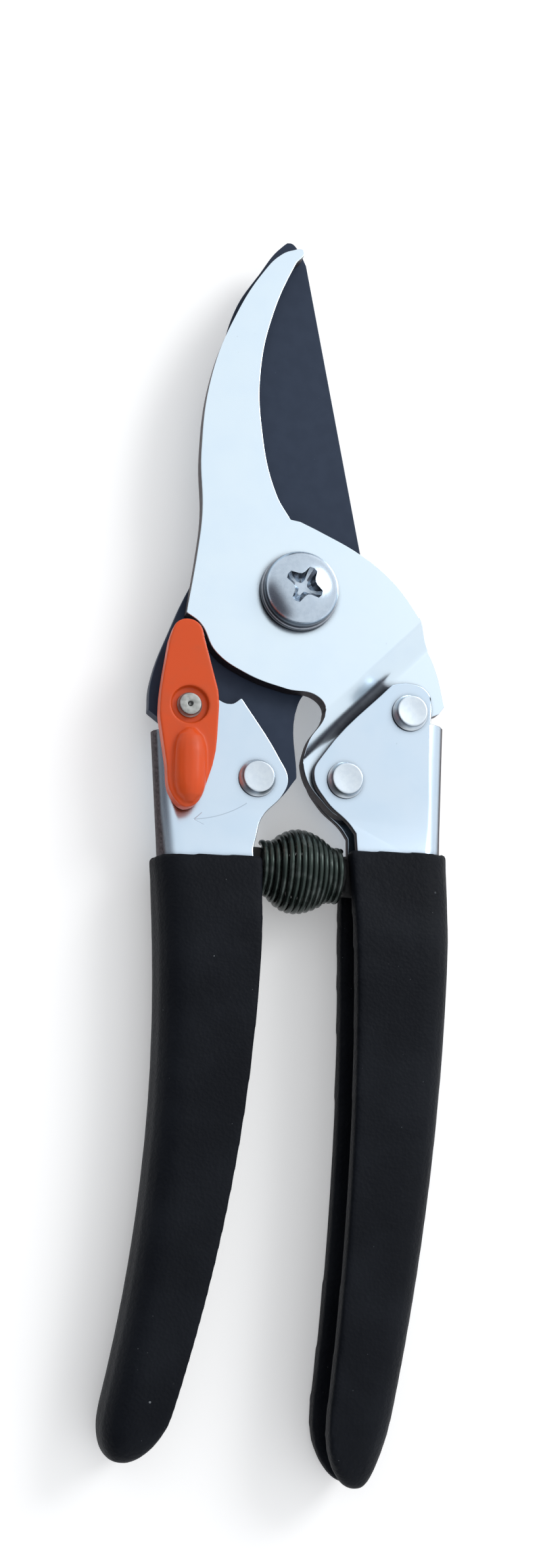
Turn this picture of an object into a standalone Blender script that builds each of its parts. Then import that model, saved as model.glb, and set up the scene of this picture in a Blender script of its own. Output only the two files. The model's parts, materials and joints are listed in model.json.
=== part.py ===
"""Bypass pruning shears with a sprung, latched pair of dipped handles, as separate working pieces.

Metres, +Z up. The shears lie on their back: Z is their thickness, with z = 0 the surface they rest on,
the blades point along +Y, and the pivot bolt's axis is the Z axis. They are closed and latched.
Run it with blender --background --python part.py, or from Blender's text editor.
"""

import math

import bmesh
import bpy
from mathutils import Matrix, Vector

MM = 0.001

# Levels, as heights above the surface that the shears rest on
REST_LEVEL = 0.0  # the backs of the grips and the bolt's end lie on it
MID_LEVEL = 7.0 * MM  # the middle plane of both handles, and of the steel that they hold
PLATE_THICKNESS = 2.8 * MM  # the cutting blade and the hook
SHEET = 1.4 * MM  # the sheet that the handles are pressed from
FLUSH_GAP = 0.2 * MM  # between faces that slide on or rest on each other
BORE_GAP = 0.2 * MM  # round every shank in its hole

BLADE_BOTTOM = MID_LEVEL - PLATE_THICKNESS / 2
BLADE_TOP = MID_LEVEL + PLATE_THICKNESS / 2
HOOK_BOTTOM = BLADE_TOP + FLUSH_GAP
HOOK_TOP = HOOK_BOTTOM + PLATE_THICKNESS
CRANK_DROP = PLATE_THICKNESS + FLUSH_GAP  # brings the hook's tail down to the blade's level
HEAD_HALF_DEPTH = PLATE_THICKNESS / 2 + FLUSH_GAP + SHEET
FLANGE_TOP = MID_LEVEL + HEAD_HALF_DEPTH
FLANGE_BOTTOM = MID_LEVEL - HEAD_HALF_DEPTH

# Handles: pressed channels that open towards each other, and the coating that they are dipped in
GRIP_HALF_DEPTH = 5.8 * MM
WEB_RADIUS = 3.6 * MM
LEAST_WEB_RADIUS = 0.3 * MM  # of a web's inside, where the channel narrows to its end
COATING = 1.2 * MM
LINING = 0.8 * MM
COATING_GAP = 0.12 * MM
FLARE_END = -58.0 * MM
LEFT_END = -139.0 * MM
RIGHT_END = -142.0 * MM
LEFT_GRIP_TOP = -44.6 * MM
RIGHT_GRIP_TOP = -40.2 * MM
GRIP_TOP_LEAN = 0.075  # how much a coating's top edge climbs along +X
FLANGE_SPLIT = -46.5 * MM  # below it the flanges' edges come from the channel, above it from the blank
LEFT_END_LENGTH = 8.0 * MM  # of a handle's rounded end
RIGHT_END_LENGTH = 12.0 * MM
STATION_STEP = 6.0 * MM

# Where the fasteners are, seen from above
LEFT_RIVET = (-4.4 * MM, -31.0 * MM)
RIGHT_LOWER_RIVET = (10.2 * MM, -29.6 * MM)
RIGHT_UPPER_RIVET = (20.4 * MM, -17.1 * MM)
LEVER_PIVOT = (-16.7 * MM, -21.3 * MM)

# Rivets
RIVET_SHANK = 2.0 * MM
RIVET_HEAD = 3.0 * MM
RIVET_TOP = 2.4 * MM
RIVET_PROUD = 1.6 * MM
FLARE_START = LEFT_RIVET[1] - RIVET_HEAD  # the handles deepen from here to FLARE_END

# Pivot bolt, with its washers, bush and nut
BOLT_SHANK = 3.0 * MM
BUSH_WALL = 1.3 * MM
BOLT_HEAD = 6.1 * MM
BOLT_RIM = 0.8 * MM
BOLT_DOME = 2.6 * MM
WASHER_RADIUS = 6.4 * MM
WASHER_THICKNESS = 1.0 * MM
SPRING_WASHER_THICKNESS = 0.7 * MM
NUT_ACROSS_FLATS = 10.0 * MM
NUT_HEIGHT = 3.2 * MM
RECESS_REACH = 3.0 * MM
RECESS_ARM = 1.2 * MM
RECESS_DEPTH = 1.9 * MM
RECESS_ANGLE = math.radians(25)

# Lock lever
LEVER_WASHER_RADIUS = 4.0 * MM
LEVER_WASHER_THICKNESS = 0.5 * MM
LEVER_THICKNESS = 2.9 * MM
LEVER_TIP_CLEARANCE = 0.3 * MM
LEVER_TIP_RADIUS = 20.0 * MM  # of the relief under the lever's tip, about the pivot bolt
LEVER_RECESS_RADIUS = 3.0 * MM
LEVER_RECESS_DEPTH = 0.9 * MM
LEVER_RIVET_SHANK = 1.4 * MM
LEVER_RIVET_HEAD = 2.0 * MM
THUMB_RIDGE_TOP = (-16.4 * MM, -25.2 * MM)
THUMB_RIDGE_BOTTOM = (-15.7 * MM, -37.0 * MM)
THUMB_RIDGE_HALF_WIDTH = 2.6 * MM
THUMB_RIDGE_RISE = 1.9 * MM

# Return spring between the handles
SPRING_Y = -44.9 * MM
SPRING_WIRE = 0.40 * MM
SPRING_TURNS = 13
SPRING_END_RADIUS = 4.0 * MM
SPRING_MIDDLE_RADIUS = 6.4 * MM
SPRING_LEFT_GAP = 0.4 * MM  # from the line of a coating's edge to the wire
SPRING_RIGHT_GAP = 0.1 * MM
SPRING_POINTS_A_TURN = 14
SEAT_GAP = 0.35 * MM
SEAT_PROUD = 0.6 * MM  # of the coated edge, at the root of its boss
SEAT_HALF_WIDTH = 3.2 * MM
SEAT_LENGTH = 8.0 * MM
SEAT_BOSS_RADIUS = 3.0 * MM
SEAT_BOSS_LENGTH = 4.5 * MM

SMOOTH, CORNER = "AUTO", "VECTOR"


def lever_bottom():
    return FLANGE_TOP + LEVER_WASHER_THICKNESS + 2 * FLUSH_GAP


def lever_top():
    return lever_bottom() + LEVER_THICKNESS


# ---------------------------------------------------------------- scene, materials and collections


def clear_scene():
    for obj in list(bpy.data.objects):
        bpy.data.objects.remove(obj)


def new_collection(name, hidden=False):
    collection = bpy.data.collections.new(name)
    bpy.context.scene.collection.children.link(collection)
    collection.hide_render = hidden
    return collection


def material(name, colour, roughness, metallic):
    made = bpy.data.materials.new(name)
    made.use_nodes = True
    shader = made.node_tree.nodes["Principled BSDF"]
    shader.inputs["Base Color"].default_value = (*colour, 1.0)
    shader.inputs["Roughness"].default_value = roughness
    shader.inputs["Metallic"].default_value = metallic
    return made


def finishes():
    return {
        "chrome": material("chrome_plate", (0.78, 0.84, 0.90), 0.16, 1.0),
        "blade": material("dark_blade_coating", (0.045, 0.058, 0.090), 0.42, 0.3),
        "grip": material("dipped_grip", (0.012, 0.014, 0.020), 0.78, 0.0),
        "lever": material("orange_plastic", (0.60, 0.075, 0.018), 0.34, 0.0),
        "steel": material("satin_steel", (0.50, 0.54, 0.60), 0.30, 1.0),
        "spring": material("dark_spring_steel", (0.030, 0.040, 0.038), 0.35, 0.8),
        "bronze": material("bush_bronze", (0.45, 0.27, 0.11), 0.40, 1.0),
        "nylon": material("spring_seat_nylon", (0.020, 0.020, 0.022), 0.60, 0.0),
    }


def finish(obj, name, surface, collection):
    """Names an object, gives it its one material and moves it to its collection."""
    obj.name = name
    obj.data.name = name
    obj.data.materials.clear()
    obj.data.materials.append(surface)
    for owner in list(obj.users_collection):
        owner.objects.unlink(obj)
    collection.objects.link(obj)
    return obj


def as_cutter(obj, collection):
    obj.display_type = "WIRE"
    obj.hide_render = True
    for owner in list(obj.users_collection):
        owner.objects.unlink(obj)
    collection.objects.link(obj)
    return obj


def add_boolean(obj, operation, cutter, name):
    modifier = obj.modifiers.new(name, "BOOLEAN")
    modifier.operation = operation
    modifier.solver = "EXACT"
    modifier.object = cutter


# ---------------------------------------------------------------- shapes


def mesh_object(name, build):
    """An object whose mesh is what build(bmesh) makes."""
    mesh = bpy.data.meshes.new(name)
    bm = bmesh.new()
    build(bm)
    bmesh.ops.recalc_face_normals(bm, faces=bm.faces)
    bm.to_mesh(mesh)
    bm.free()
    obj = bpy.data.objects.new(name, mesh)
    bpy.context.scene.collection.objects.link(obj)
    return obj


def add_outline(curve, points):
    """A closed Bezier outline. Each point is x and y in millimetres, and whether it is smooth or a corner."""
    spline = curve.splines.new("BEZIER")
    spline.bezier_points.add(len(points) - 1)
    spline.use_cyclic_u = True
    for bezier, (x, y, kind) in zip(spline.bezier_points, points):
        bezier.co = (x * MM, y * MM, 0.0)
        bezier.handle_left_type = kind
        bezier.handle_right_type = kind


def add_circle(curve, centre, radius, sides=24):
    spline = curve.splines.new("POLY")
    spline.points.add(sides - 1)
    spline.use_cyclic_u = True
    for i, point in enumerate(spline.points):
        angle = math.tau * i / sides
        point.co = (centre[0] + radius * math.cos(angle), centre[1] + radius * math.sin(angle), 0.0, 1.0)


def plate(name, outline, holes, bottom, top, resolution=6):
    """A flat plate with the outline and the round holes, each a centre and a radius, as a mesh."""
    curve = bpy.data.curves.new(name, "CURVE")
    curve.dimensions = "2D"
    curve.fill_mode = "BOTH"
    curve.extrude = (top - bottom) / 2
    curve.resolution_u = resolution
    add_outline(curve, outline)
    for centre, radius in holes:
        add_circle(curve, centre, radius)
    shape = bpy.data.objects.new(name, curve)
    bpy.context.scene.collection.objects.link(shape)
    graph = bpy.context.evaluated_depsgraph_get()
    mesh = bpy.data.meshes.new_from_object(shape.evaluated_get(graph))
    bpy.data.objects.remove(shape)
    bpy.data.curves.remove(curve)
    bm = bmesh.new()
    bm.from_mesh(mesh)
    bmesh.ops.remove_doubles(bm, verts=bm.verts, dist=0.001 * MM)
    bmesh.ops.translate(bm, verts=bm.verts, vec=(0.0, 0.0, (top + bottom) / 2))
    bmesh.ops.recalc_face_normals(bm, faces=bm.faces)
    bm.to_mesh(mesh)
    bm.free()
    obj = bpy.data.objects.new(name, mesh)
    bpy.context.scene.collection.objects.link(obj)
    return obj


def turned(name, profile, centre, steps=32):
    """A turned piece about an upright axis. Its profile runs down the outer side, as radius and height."""
    mesh = bpy.data.meshes.new(name)
    bm = bmesh.new()
    verts = [bm.verts.new((radius, 0.0, height)) for radius, height in profile]
    for first, second in zip(verts, verts[1:]):
        bm.edges.new((first, second))
    if profile[0][0] > 0 and profile[-1][0] > 0:
        bm.edges.new((verts[-1], verts[0]))
    bm.to_mesh(mesh)
    bm.free()
    obj = bpy.data.objects.new(name, mesh)
    bpy.context.scene.collection.objects.link(obj)
    obj.location = (*centre, 0.0)
    screw = obj.modifiers.new("turn", "SCREW")
    screw.steps = steps
    screw.render_steps = steps
    screw.use_merge_vertices = True
    screw.merge_threshold = 0.00001
    return obj


def box(name, low, high):
    centre = (Vector(low) + Vector(high)) / 2
    size = Vector(high) - Vector(low)

    def build(bm):
        bmesh.ops.create_cube(bm, size=1.0, matrix=Matrix.Translation(centre) @ Matrix.Diagonal((*size, 1.0)))

    return mesh_object(name, build)


def loft(name, sections):
    """A closed body through section loops of equal length, each a list of points."""

    def build(bm):
        rings = []
        for section in sections:
            verts = [bm.verts.new(point) for point in section]
            rings.append([bm.edges.new(pair) for pair in zip(verts, verts[1:] + verts[:1])])
        for first, second in zip(rings, rings[1:]):
            bmesh.ops.bridge_loops(bm, edges=first + second)
        bmesh.ops.contextual_create(bm, geom=rings[0])
        bmesh.ops.contextual_create(bm, geom=rings[-1])

    return mesh_object(name, build)


# ---------------------------------------------------------------- handles


def bowed_edge(y, top, middle, bottom):
    """The x of a gently bowed edge at y, as the parabola through three points in millimetres."""
    total = 0.0
    for (x0, y0), (_, y1), (_, y2) in (
        (top, middle, bottom),
        (middle, top, bottom),
        (bottom, top, middle),
    ):
        total += x0 * (y / MM - y1) * (y / MM - y2) / ((y0 - y1) * (y0 - y2))
    return total * MM


class Side:
    """One handle's plan: which way its web faces, its coated edges, and where they start and end.

    The edges and web_top are in millimetres. end_share is how far in from the web its end's tip lies.
    """

    def __init__(self, name, facing, web_top, outer, inner, end_share, end_length, end, grip_top):
        self.name = name
        self.facing = facing
        self.web_top = web_top
        self.outer = outer
        self.inner = inner
        self.end_share = end_share
        self.end_length = end_length
        self.end = end
        self.grip_top = grip_top

    def coated_outer(self, y):
        """The coating's outer edge. Above its first point the web runs straight to its top."""
        x, first = self.outer[0]
        if y / MM <= first:
            return bowed_edge(y, *self.outer)
        top_x, top_y = self.web_top
        share = (y / MM - first) / (top_y - first)
        return (x + (top_x - x) * share) * MM + self.facing * COATING * share

    def outer_x(self, y):
        return self.coated_outer(y) - self.facing * COATING

    def coated_inner(self, y):
        return bowed_edge(y, *self.inner)

    def inner_x(self, y):
        return self.coated_inner(y) + self.facing * COATING


LEFT = Side(
    name="left",
    facing=-1,
    web_top=(-21.7, -24.7),
    outer=((-20.5, -44.0), (-17.4, -84.0), (-22.1, -134.0)),
    inner=((-3.0, -44.0), (-3.8, -90.0), (-12.0, -134.0)),
    end_share=0.5,
    end_length=LEFT_END_LENGTH,
    end=LEFT_END,
    grip_top=LEFT_GRIP_TOP,
)
RIGHT = Side(
    name="right",
    facing=1,
    web_top=(27.0, -18.4),
    outer=((28.9, -42.0), (29.2, -81.0), (24.3, -131.0)),
    inner=((12.0, -45.0), (14.5, -95.0), (13.2, -132.0)),
    end_share=0.28,
    end_length=RIGHT_END_LENGTH,
    end=RIGHT_END,
    grip_top=RIGHT_GRIP_TOP,
)


def half_depth(y):
    """The channel is shallow where it holds the blade's tail and flares to the hand's width."""
    share = min(max((FLARE_START - y) / (FLARE_START - FLARE_END), 0.0), 1.0)
    eased = share * share * (3 - 2 * share)
    return HEAD_HALF_DEPTH + (GRIP_HALF_DEPTH - HEAD_HALF_DEPTH) * eased


def channel_section(y, facing, web_x, edge_x, depth, radius, wall, web_wall):
    """A channel's section at y: its web is round, at web_x, and its flanges end at edge_x."""
    arc = [math.radians(90 - 22.5 * i) for i in range(9)]

    def web(face_x, round_radius, reach):
        centre_x = face_x - facing * round_radius
        turn_radius = min(round_radius, reach)
        straight = reach - turn_radius
        for angle in arc:
            lift = straight if angle > 0 else -straight if angle < 0 else 0.0
            yield (
                centre_x + facing * turn_radius * math.cos(angle),
                y,
                MID_LEVEL + lift + turn_radius * math.sin(angle),
            )

    inner_depth = depth - wall
    outside = list(web(web_x, radius, depth))
    inside = list(web(web_x - facing * web_wall, max(radius - web_wall, LEAST_WEB_RADIUS), inner_depth))
    tips = [(edge_x, y, MID_LEVEL + depth)]
    tips_end = [(edge_x, y, MID_LEVEL - depth), (edge_x, y, MID_LEVEL - inner_depth)]
    return tips + outside + tips_end + inside[::-1] + [(edge_x, y, MID_LEVEL + inner_depth)]


def stations(first, last, end_length):
    """Section places from first down to last: the same grid for every body, then closer at its end."""
    straight = last + end_length
    grid = [-STATION_STEP * i for i in range(1, 40)]
    run = [y for y in grid if straight + STATION_STEP / 3 < y < first - STATION_STEP / 6]
    end = [last + end_length * (1 - math.sin(math.radians(15 * i))) for i in range(6)]
    return [first] + run + end


def channel_body(name, side, first, grow, wall, reach=0.0, lean=0.0, slack=0.0):
    """A channel down one handle, grow larger than the pressed sheet all round, with a rounded end.

    reach takes its flanges past their edges above the split, lean tilts its top edge, and slack moves
    every face of the finished shape out by that much, which makes the space that the shape fits in.
    """
    last = side.end + COATING - grow
    places = stations(first, last, side.end_length)
    if reach:
        places = sorted(places + [FLANGE_SPLIT, FLANGE_SPLIT + 0.1 * MM], reverse=True)
    sections = []
    for y in places:
        run = min((y - last) / side.end_length, 1.0)
        width = math.sqrt(1 - (1 - run) ** 2)
        outer = side.outer_x(y) + side.facing * grow
        inner = side.inner_x(y) - side.facing * grow
        pinch = (outer - inner) * (1 - width)
        past_edge = side.facing * (reach if y > FLANGE_SPLIT else 0.0)
        depth = (half_depth(y) + grow) * (0.45 + 0.55 * width)
        radius = min(WEB_RADIUS + grow, depth, abs(outer - inner) / 2 * width)
        sections.append(
            channel_section(
                y,
                side.facing,
                outer - pinch * side.end_share + side.facing * slack,
                inner + pinch * (1 - side.end_share) - past_edge - side.facing * slack,
                depth + slack,
                radius + slack,
                min(wall, depth * 0.7) + 2 * slack,
                min(wall, radius - LEAST_WEB_RADIUS) + 2 * slack,
            )
        )
    middle = sum(x for x, _, _ in sections[0]) / len(sections[0])
    sections[0] = [(x, y + lean * (x - middle), z) for x, y, z in sections[0]]
    sections[-1] = [(x, y - slack, z) for x, y, z in sections[-1]]
    return loft(name, sections)


def blank_outline(side, head):
    """The blank's outline in millimetres: the head's own points, and clear of the channel below them."""
    edge = [
        (side.inner_x(y) / MM + side.facing * 0.02, y / MM, CORNER)
        for y in (side.grip_top + 2 * MM, FLANGE_SPLIT - 0.05 * MM)
    ]
    away = side.inner_x(FLANGE_SPLIT) / MM - side.facing * 15
    far = side.outer_x(FLANGE_SPLIT) / MM + side.facing * 15
    floor = side.end / MM - 10
    below = [(away, edge[-1][1], CORNER), (away, floor, CORNER), (far, floor, CORNER), (far, head[0][1], CORNER)]
    return head + edge + below


LEFT_FLAT_EDGE = LEFT.web_top[0] + HEAD_HALF_DEPTH / MM  # where a flange starts to turn into its web
RIGHT_FLAT_EDGE = RIGHT.web_top[0] - HEAD_HALF_DEPTH / MM
LEFT_HEAD = [
    (LEFT_FLAT_EDGE - 0.3, -24.7, CORNER),
    (LEFT_FLAT_EDGE - 0.3, -20.5, SMOOTH),
    (-16.7, -17.6, SMOOTH),
    (-12.9, -18.3, SMOOTH),
    (-9.5, -19.3, SMOOTH),
    (-7.8, -18.1, CORNER),
    (-0.9, -27.2, SMOOTH),
    (0.8, -30.5, SMOOTH),
    (0.2, -32.9, SMOOTH),
    (-3.2, -37.4, SMOOTH),
    (-3.9, -40.4, SMOOTH),
]
RIGHT_HEAD = [
    (RIGHT_FLAT_EDGE + 0.2, -18.4, CORNER),
    (RIGHT_FLAT_EDGE + 0.2, -15.2, SMOOTH),
    (23.2, -12.9, SMOOTH),
    (20.3, -12.0, SMOOTH),
    (17.1, -12.7, CORNER),
    (6.3, -25.7, SMOOTH),
    (4.9, -29.2, SMOOTH),
    (7.3, -33.4, SMOOTH),
    (11.2, -36.6, SMOOTH),
]


def handle(side, head, holes, cutters):
    """The pressed handle: the channel, kept only inside the outline that its blank had."""
    body = channel_body(side.name + "_channel", side, 0.0, 0.0, SHEET, reach=14.0 * MM)
    outline = blank_outline(side, head)
    blank = plate(side.name + "_blank", outline, holes, MID_LEVEL - 9 * MM, MID_LEVEL + 9 * MM)
    add_boolean(body, "INTERSECT", as_cutter(blank, cutters), "blank")
    return body


def grip(side, cutters):
    """The dipped coating: it wraps the channel outside and in, and closes its end."""
    wall = COATING + SHEET + LINING
    body = channel_body(side.name + "_coating", side, side.grip_top, COATING, wall, lean=GRIP_TOP_LEAN)
    space_top = side.grip_top + 3 * MM
    steel = channel_body(side.name + "_steel_space", side, space_top, 0.0, SHEET, slack=COATING_GAP)
    add_boolean(body, "DIFFERENCE", as_cutter(steel, cutters), "steel")
    return body


# ---------------------------------------------------------------- blades

BLADE_OUTLINE = [
    (-4.8, 61.1, SMOOTH),
    (-3.6, 60.4, SMOOTH),
    (-1.8, 57.6, CORNER),
    (10.6, 9.8, CORNER),
    (13.2, -1.0, SMOOTH),
    (10.5, -9.0, SMOOTH),
    (4.6, -13.8, SMOOTH),
    (1.9, -17.6, SMOOTH),
    (2.5, -29.8, CORNER),
    (-0.6, -34.0, SMOOTH),
    (-6.0, -37.0, SMOOTH),
    (-14.0, -35.0, SMOOTH),
    (-18.2, -29.0, SMOOTH),
    (-19.2, -23.8, CORNER),
    (-22.5, -21.6, CORNER),
    (-22.5, -17.0, SMOOTH),
    (-19.4, -6.0, SMOOTH),
    (-14.6, 8.0, SMOOTH),
    (-14.2, 24.0, SMOOTH),
    (-15.0, 38.0, SMOOTH),
    (-13.4, 47.4, SMOOTH),
    (-9.7, 54.6, SMOOTH),
    (-6.2, 60.1, SMOOTH),
]
HOOK_OUTLINE = [
    (-3.0, 58.4, SMOOTH),
    (-4.2, 55.9, SMOOTH),
    (-7.4, 46.5, SMOOTH),
    (-8.8, 36.6, SMOOTH),
    (-7.9, 26.5, SMOOTH),
    (-4.7, 15.9, SMOOTH),
    (-2.1, 12.1, CORNER),
    (-0.5, 12.0, CORNER),
    (3.0, 10.8, SMOOTH),
    (9.9, 8.0, SMOOTH),
    (15.2, 4.8, SMOOTH),
    (19.8, 0.0, SMOOTH),
    (22.8, -4.6, SMOOTH),
    (25.1, -8.8, SMOOTH),
    (26.9, -14.7, CORNER),
    (26.0, -16.1, CORNER),
    (23.8, -17.2, CORNER),
    (22.8, -22.0, SMOOTH),
    (17.0, -31.0, SMOOTH),
    (11.0, -35.4, SMOOTH),
    (6.6, -32.8, SMOOTH),
    (3.7, -28.6, SMOOTH),
    (3.6, -24.4, SMOOTH),
    (5.9, -18.9, SMOOTH),
    (4.4, -16.7, SMOOTH),
    (-0.8, -16.1, SMOOTH),
    (-8.0, -14.3, SMOOTH),
    (-12.9, -11.5, SMOOTH),
    (-15.6, -7.3, SMOOTH),
    (-18.0, -5.8, CORNER),
    (-17.0, 4.3, SMOOTH),
    (-16.7, 11.0, SMOOTH),
    (-17.6, 21.0, SMOOTH),
    (-16.8, 34.4, SMOOTH),
    (-13.6, 45.2, SMOOTH),
    (-9.2, 54.0, SMOOTH),
    (-7.1, 56.7, SMOOTH),
    (-5.0, 58.1, SMOOTH),
]
CRANK_NORMAL = Vector((0.745, -0.667, 0.0)).normalized()
CRANK_START = 16.9 * MM
CRANK_RUN = 3.6 * MM


def pivot_hole():
    return (0.0, 0.0), BOLT_SHANK + BUSH_WALL + 2 * BORE_GAP


def rivet_hole(centre):
    return centre, RIVET_SHANK + BORE_GAP


def lever_hole():
    return LEVER_PIVOT, LEVER_RIVET_SHANK + BORE_GAP


def cutting_blade():
    holes = [pivot_hole(), rivet_hole(LEFT_RIVET), lever_hole()]
    return plate("cutting_blade", BLADE_OUTLINE, holes, BLADE_BOTTOM, BLADE_TOP, resolution=8)


def hook_blade():
    """The chromed hook, cranked between two bend lines so that its tail lies at the blade's level."""
    holes = [pivot_hole(), rivet_hole(RIGHT_LOWER_RIVET), rivet_hole(RIGHT_UPPER_RIVET)]
    obj = plate("hook_blade", HOOK_OUTLINE, holes, HOOK_BOTTOM, HOOK_TOP, resolution=8)
    bm = bmesh.new()
    bm.from_mesh(obj.data)
    for distance in (CRANK_START, CRANK_START + CRANK_RUN):
        bmesh.ops.bisect_plane(
            bm,
            geom=bm.verts[:] + bm.edges[:] + bm.faces[:],
            plane_co=CRANK_NORMAL * distance,
            plane_no=CRANK_NORMAL,
            dist=0.001 * MM,
        )
    for vert in bm.verts:
        past = (vert.co.dot(CRANK_NORMAL) - CRANK_START) / CRANK_RUN
        vert.co.z -= CRANK_DROP * min(max(past, 0.0), 1.0)
    bm.to_mesh(obj.data)
    bm.free()
    return obj


# ---------------------------------------------------------------- fasteners


def rivet(name, centre):
    """A rivet through both flanges and the plate between them, with a chamfered head on each side."""
    top = FLANGE_TOP + FLUSH_GAP
    bottom = FLANGE_BOTTOM - FLUSH_GAP
    chamfer = RIVET_HEAD - RIVET_TOP
    profile = [
        (0.0, top + RIVET_PROUD),
        (RIVET_TOP, top + RIVET_PROUD),
        (RIVET_HEAD, top + RIVET_PROUD - chamfer),
        (RIVET_HEAD, top),
        (RIVET_SHANK, top),
        (RIVET_SHANK, bottom),
        (RIVET_HEAD, bottom),
        (RIVET_HEAD, bottom - RIVET_PROUD + chamfer),
        (RIVET_TOP, bottom - RIVET_PROUD),
        (0.0, bottom - RIVET_PROUD),
    ]
    return turned(name, profile, centre)


def ring(name, inner, outer, bottom, top, centre=(0.0, 0.0), steps=32):
    return turned(name, [(inner, top), (outer, top), (outer, bottom), (inner, bottom)], centre, steps)


def bolt_levels():
    """The heights of the pivot's stack: the head's underside, the nut's two faces and the shank's end."""
    head = HOOK_TOP + 2 * FLUSH_GAP + WASHER_THICKNESS
    nut_top = BLADE_BOTTOM - 2 * FLUSH_GAP - SPRING_WASHER_THICKNESS
    return head, nut_top, nut_top - NUT_HEIGHT, REST_LEVEL


def pivot_bolt(cutters):
    head, _, _, end = bolt_levels()
    rim = head + BOLT_RIM
    dome = []
    for i in range(7):
        angle = math.radians(90 - 15 * i)
        dome.append((BOLT_HEAD * math.cos(angle), rim + BOLT_DOME * math.sin(angle)))
    dome[0] = (0.0, rim + BOLT_DOME)
    profile = dome + [(BOLT_HEAD, head), (BOLT_SHANK, head), (BOLT_SHANK, end), (0.0, end)]
    obj = turned("pivot_bolt", profile, (0.0, 0.0), steps=40)
    top = rim + BOLT_DOME
    for number, angle in enumerate((RECESS_ANGLE, RECESS_ANGLE + math.pi / 2)):
        arm = box(
            f"recess_arm_{number}",
            (-RECESS_REACH, -RECESS_ARM / 2, top - RECESS_DEPTH),
            (RECESS_REACH, RECESS_ARM / 2, top + 1 * MM),
        )
        arm.rotation_euler.z = -angle
        add_boolean(obj, "DIFFERENCE", as_cutter(arm, cutters), f"recess_{number}")
    return obj


def pivot_nut():
    _, top, bottom, _ = bolt_levels()
    corner = NUT_ACROSS_FLATS / 2 / math.cos(math.pi / 6) / MM
    hexagon = []
    for i in range(6):
        angle = math.tau * i / 6
        hexagon.append((corner * math.cos(angle), corner * math.sin(angle), CORNER))
    return plate("pivot_nut", hexagon, [((0.0, 0.0), BOLT_SHANK + BORE_GAP)], bottom, top, resolution=1)


# ---------------------------------------------------------------- lock lever

LEVER_OUTLINE = [
    (-19.4, -8.0, SMOOTH),
    (-16.4, -7.9, SMOOTH),
    (-14.9, -11.0, CORNER),
    (-12.3, -18.6, CORNER),
    (-12.0, -21.5, SMOOTH),
    (-13.0, -33.0, SMOOTH),
    (-15.7, -37.7, SMOOTH),
    (-18.4, -36.2, SMOOTH),
    (-19.8, -30.8, CORNER),
    (-21.4, -23.6, CORNER),
    (-21.5, -20.4, SMOOTH),
    (-20.7, -11.0, CORNER),
]


def thumb_ridge(bottom, top):
    """A rounded bar along the lever's lower arm, blunt at both ends, from inside the lever to above its top."""
    sections = []
    steps = 10
    for i in range(steps + 1):
        share = i / steps
        x = THUMB_RIDGE_TOP[0] + (THUMB_RIDGE_BOTTOM[0] - THUMB_RIDGE_TOP[0]) * share
        y = THUMB_RIDGE_TOP[1] + (THUMB_RIDGE_BOTTOM[1] - THUMB_RIDGE_TOP[1]) * share
        fullness = max(1 - abs(2 * share - 1) ** 4, 0.08) ** 0.5
        half = THUMB_RIDGE_HALF_WIDTH * fullness
        arch = []
        for j in range(9):
            angle = math.pi * j / 8
            arch.append((x + half * math.cos(angle), y, top + THUMB_RIDGE_RISE * fullness * math.sin(angle)))
        sections.append([(x + half, y, bottom)] + arch + [(x - half, y, bottom)])
    return loft("thumb_ridge", sections)


def lock_lever(cutters):
    """The plastic lever, with its thumb ridge, its rivet's recess, and its tip relieved over the hook."""
    bottom, top = lever_bottom(), lever_top()
    obj = plate("lock_lever", LEVER_OUTLINE, [], bottom, top, resolution=5)
    add_boolean(obj, "UNION", as_cutter(thumb_ridge(bottom + 0.5 * MM, top), cutters), "ridge")
    recess = ring("lever_recess", 0.0, LEVER_RECESS_RADIUS, top - LEVER_RECESS_DEPTH, top + 3 * MM, LEVER_PIVOT)
    add_boolean(obj, "DIFFERENCE", as_cutter(recess, cutters), "recess")
    bore_radius = LEVER_RIVET_SHANK + BORE_GAP
    bore = ring("lever_bore", 0.0, bore_radius, bottom - 1 * MM, top, LEVER_PIVOT)
    add_boolean(obj, "DIFFERENCE", as_cutter(bore, cutters), "bore")
    relief_top = HOOK_TOP + LEVER_TIP_CLEARANCE
    relief = ring("tip_relief", 0.0, LEVER_TIP_RADIUS, bottom - 1 * MM, relief_top, steps=64)
    add_boolean(obj, "DIFFERENCE", as_cutter(relief, cutters), "relief")
    return obj


def lever_rivet():
    top = lever_top() - LEVER_RECESS_DEPTH + FLUSH_GAP
    bottom = FLANGE_BOTTOM - FLUSH_GAP
    rise = 1.1 * MM
    profile = [
        (0.0, top + rise),
        (LEVER_RIVET_HEAD * 0.85, top + rise),
        (LEVER_RIVET_HEAD, top + rise * 0.7),
        (LEVER_RIVET_HEAD, top),
        (LEVER_RIVET_SHANK, top),
        (LEVER_RIVET_SHANK, bottom),
        (LEVER_RIVET_HEAD * 1.3, bottom),
        (LEVER_RIVET_HEAD * 1.3, bottom - rise * 0.7),
        (LEVER_RIVET_HEAD, bottom - rise),
        (0.0, bottom - rise),
    ]
    return turned("lever_rivet", profile, LEVER_PIVOT, steps=24)


def lever_washer():
    bottom = FLANGE_TOP + FLUSH_GAP
    return ring(
        "lever_washer",
        LEVER_RIVET_SHANK + BORE_GAP,
        LEVER_WASHER_RADIUS,
        bottom,
        bottom + LEVER_WASHER_THICKNESS,
        LEVER_PIVOT,
        steps=24,
    )


# ---------------------------------------------------------------- spring


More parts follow.
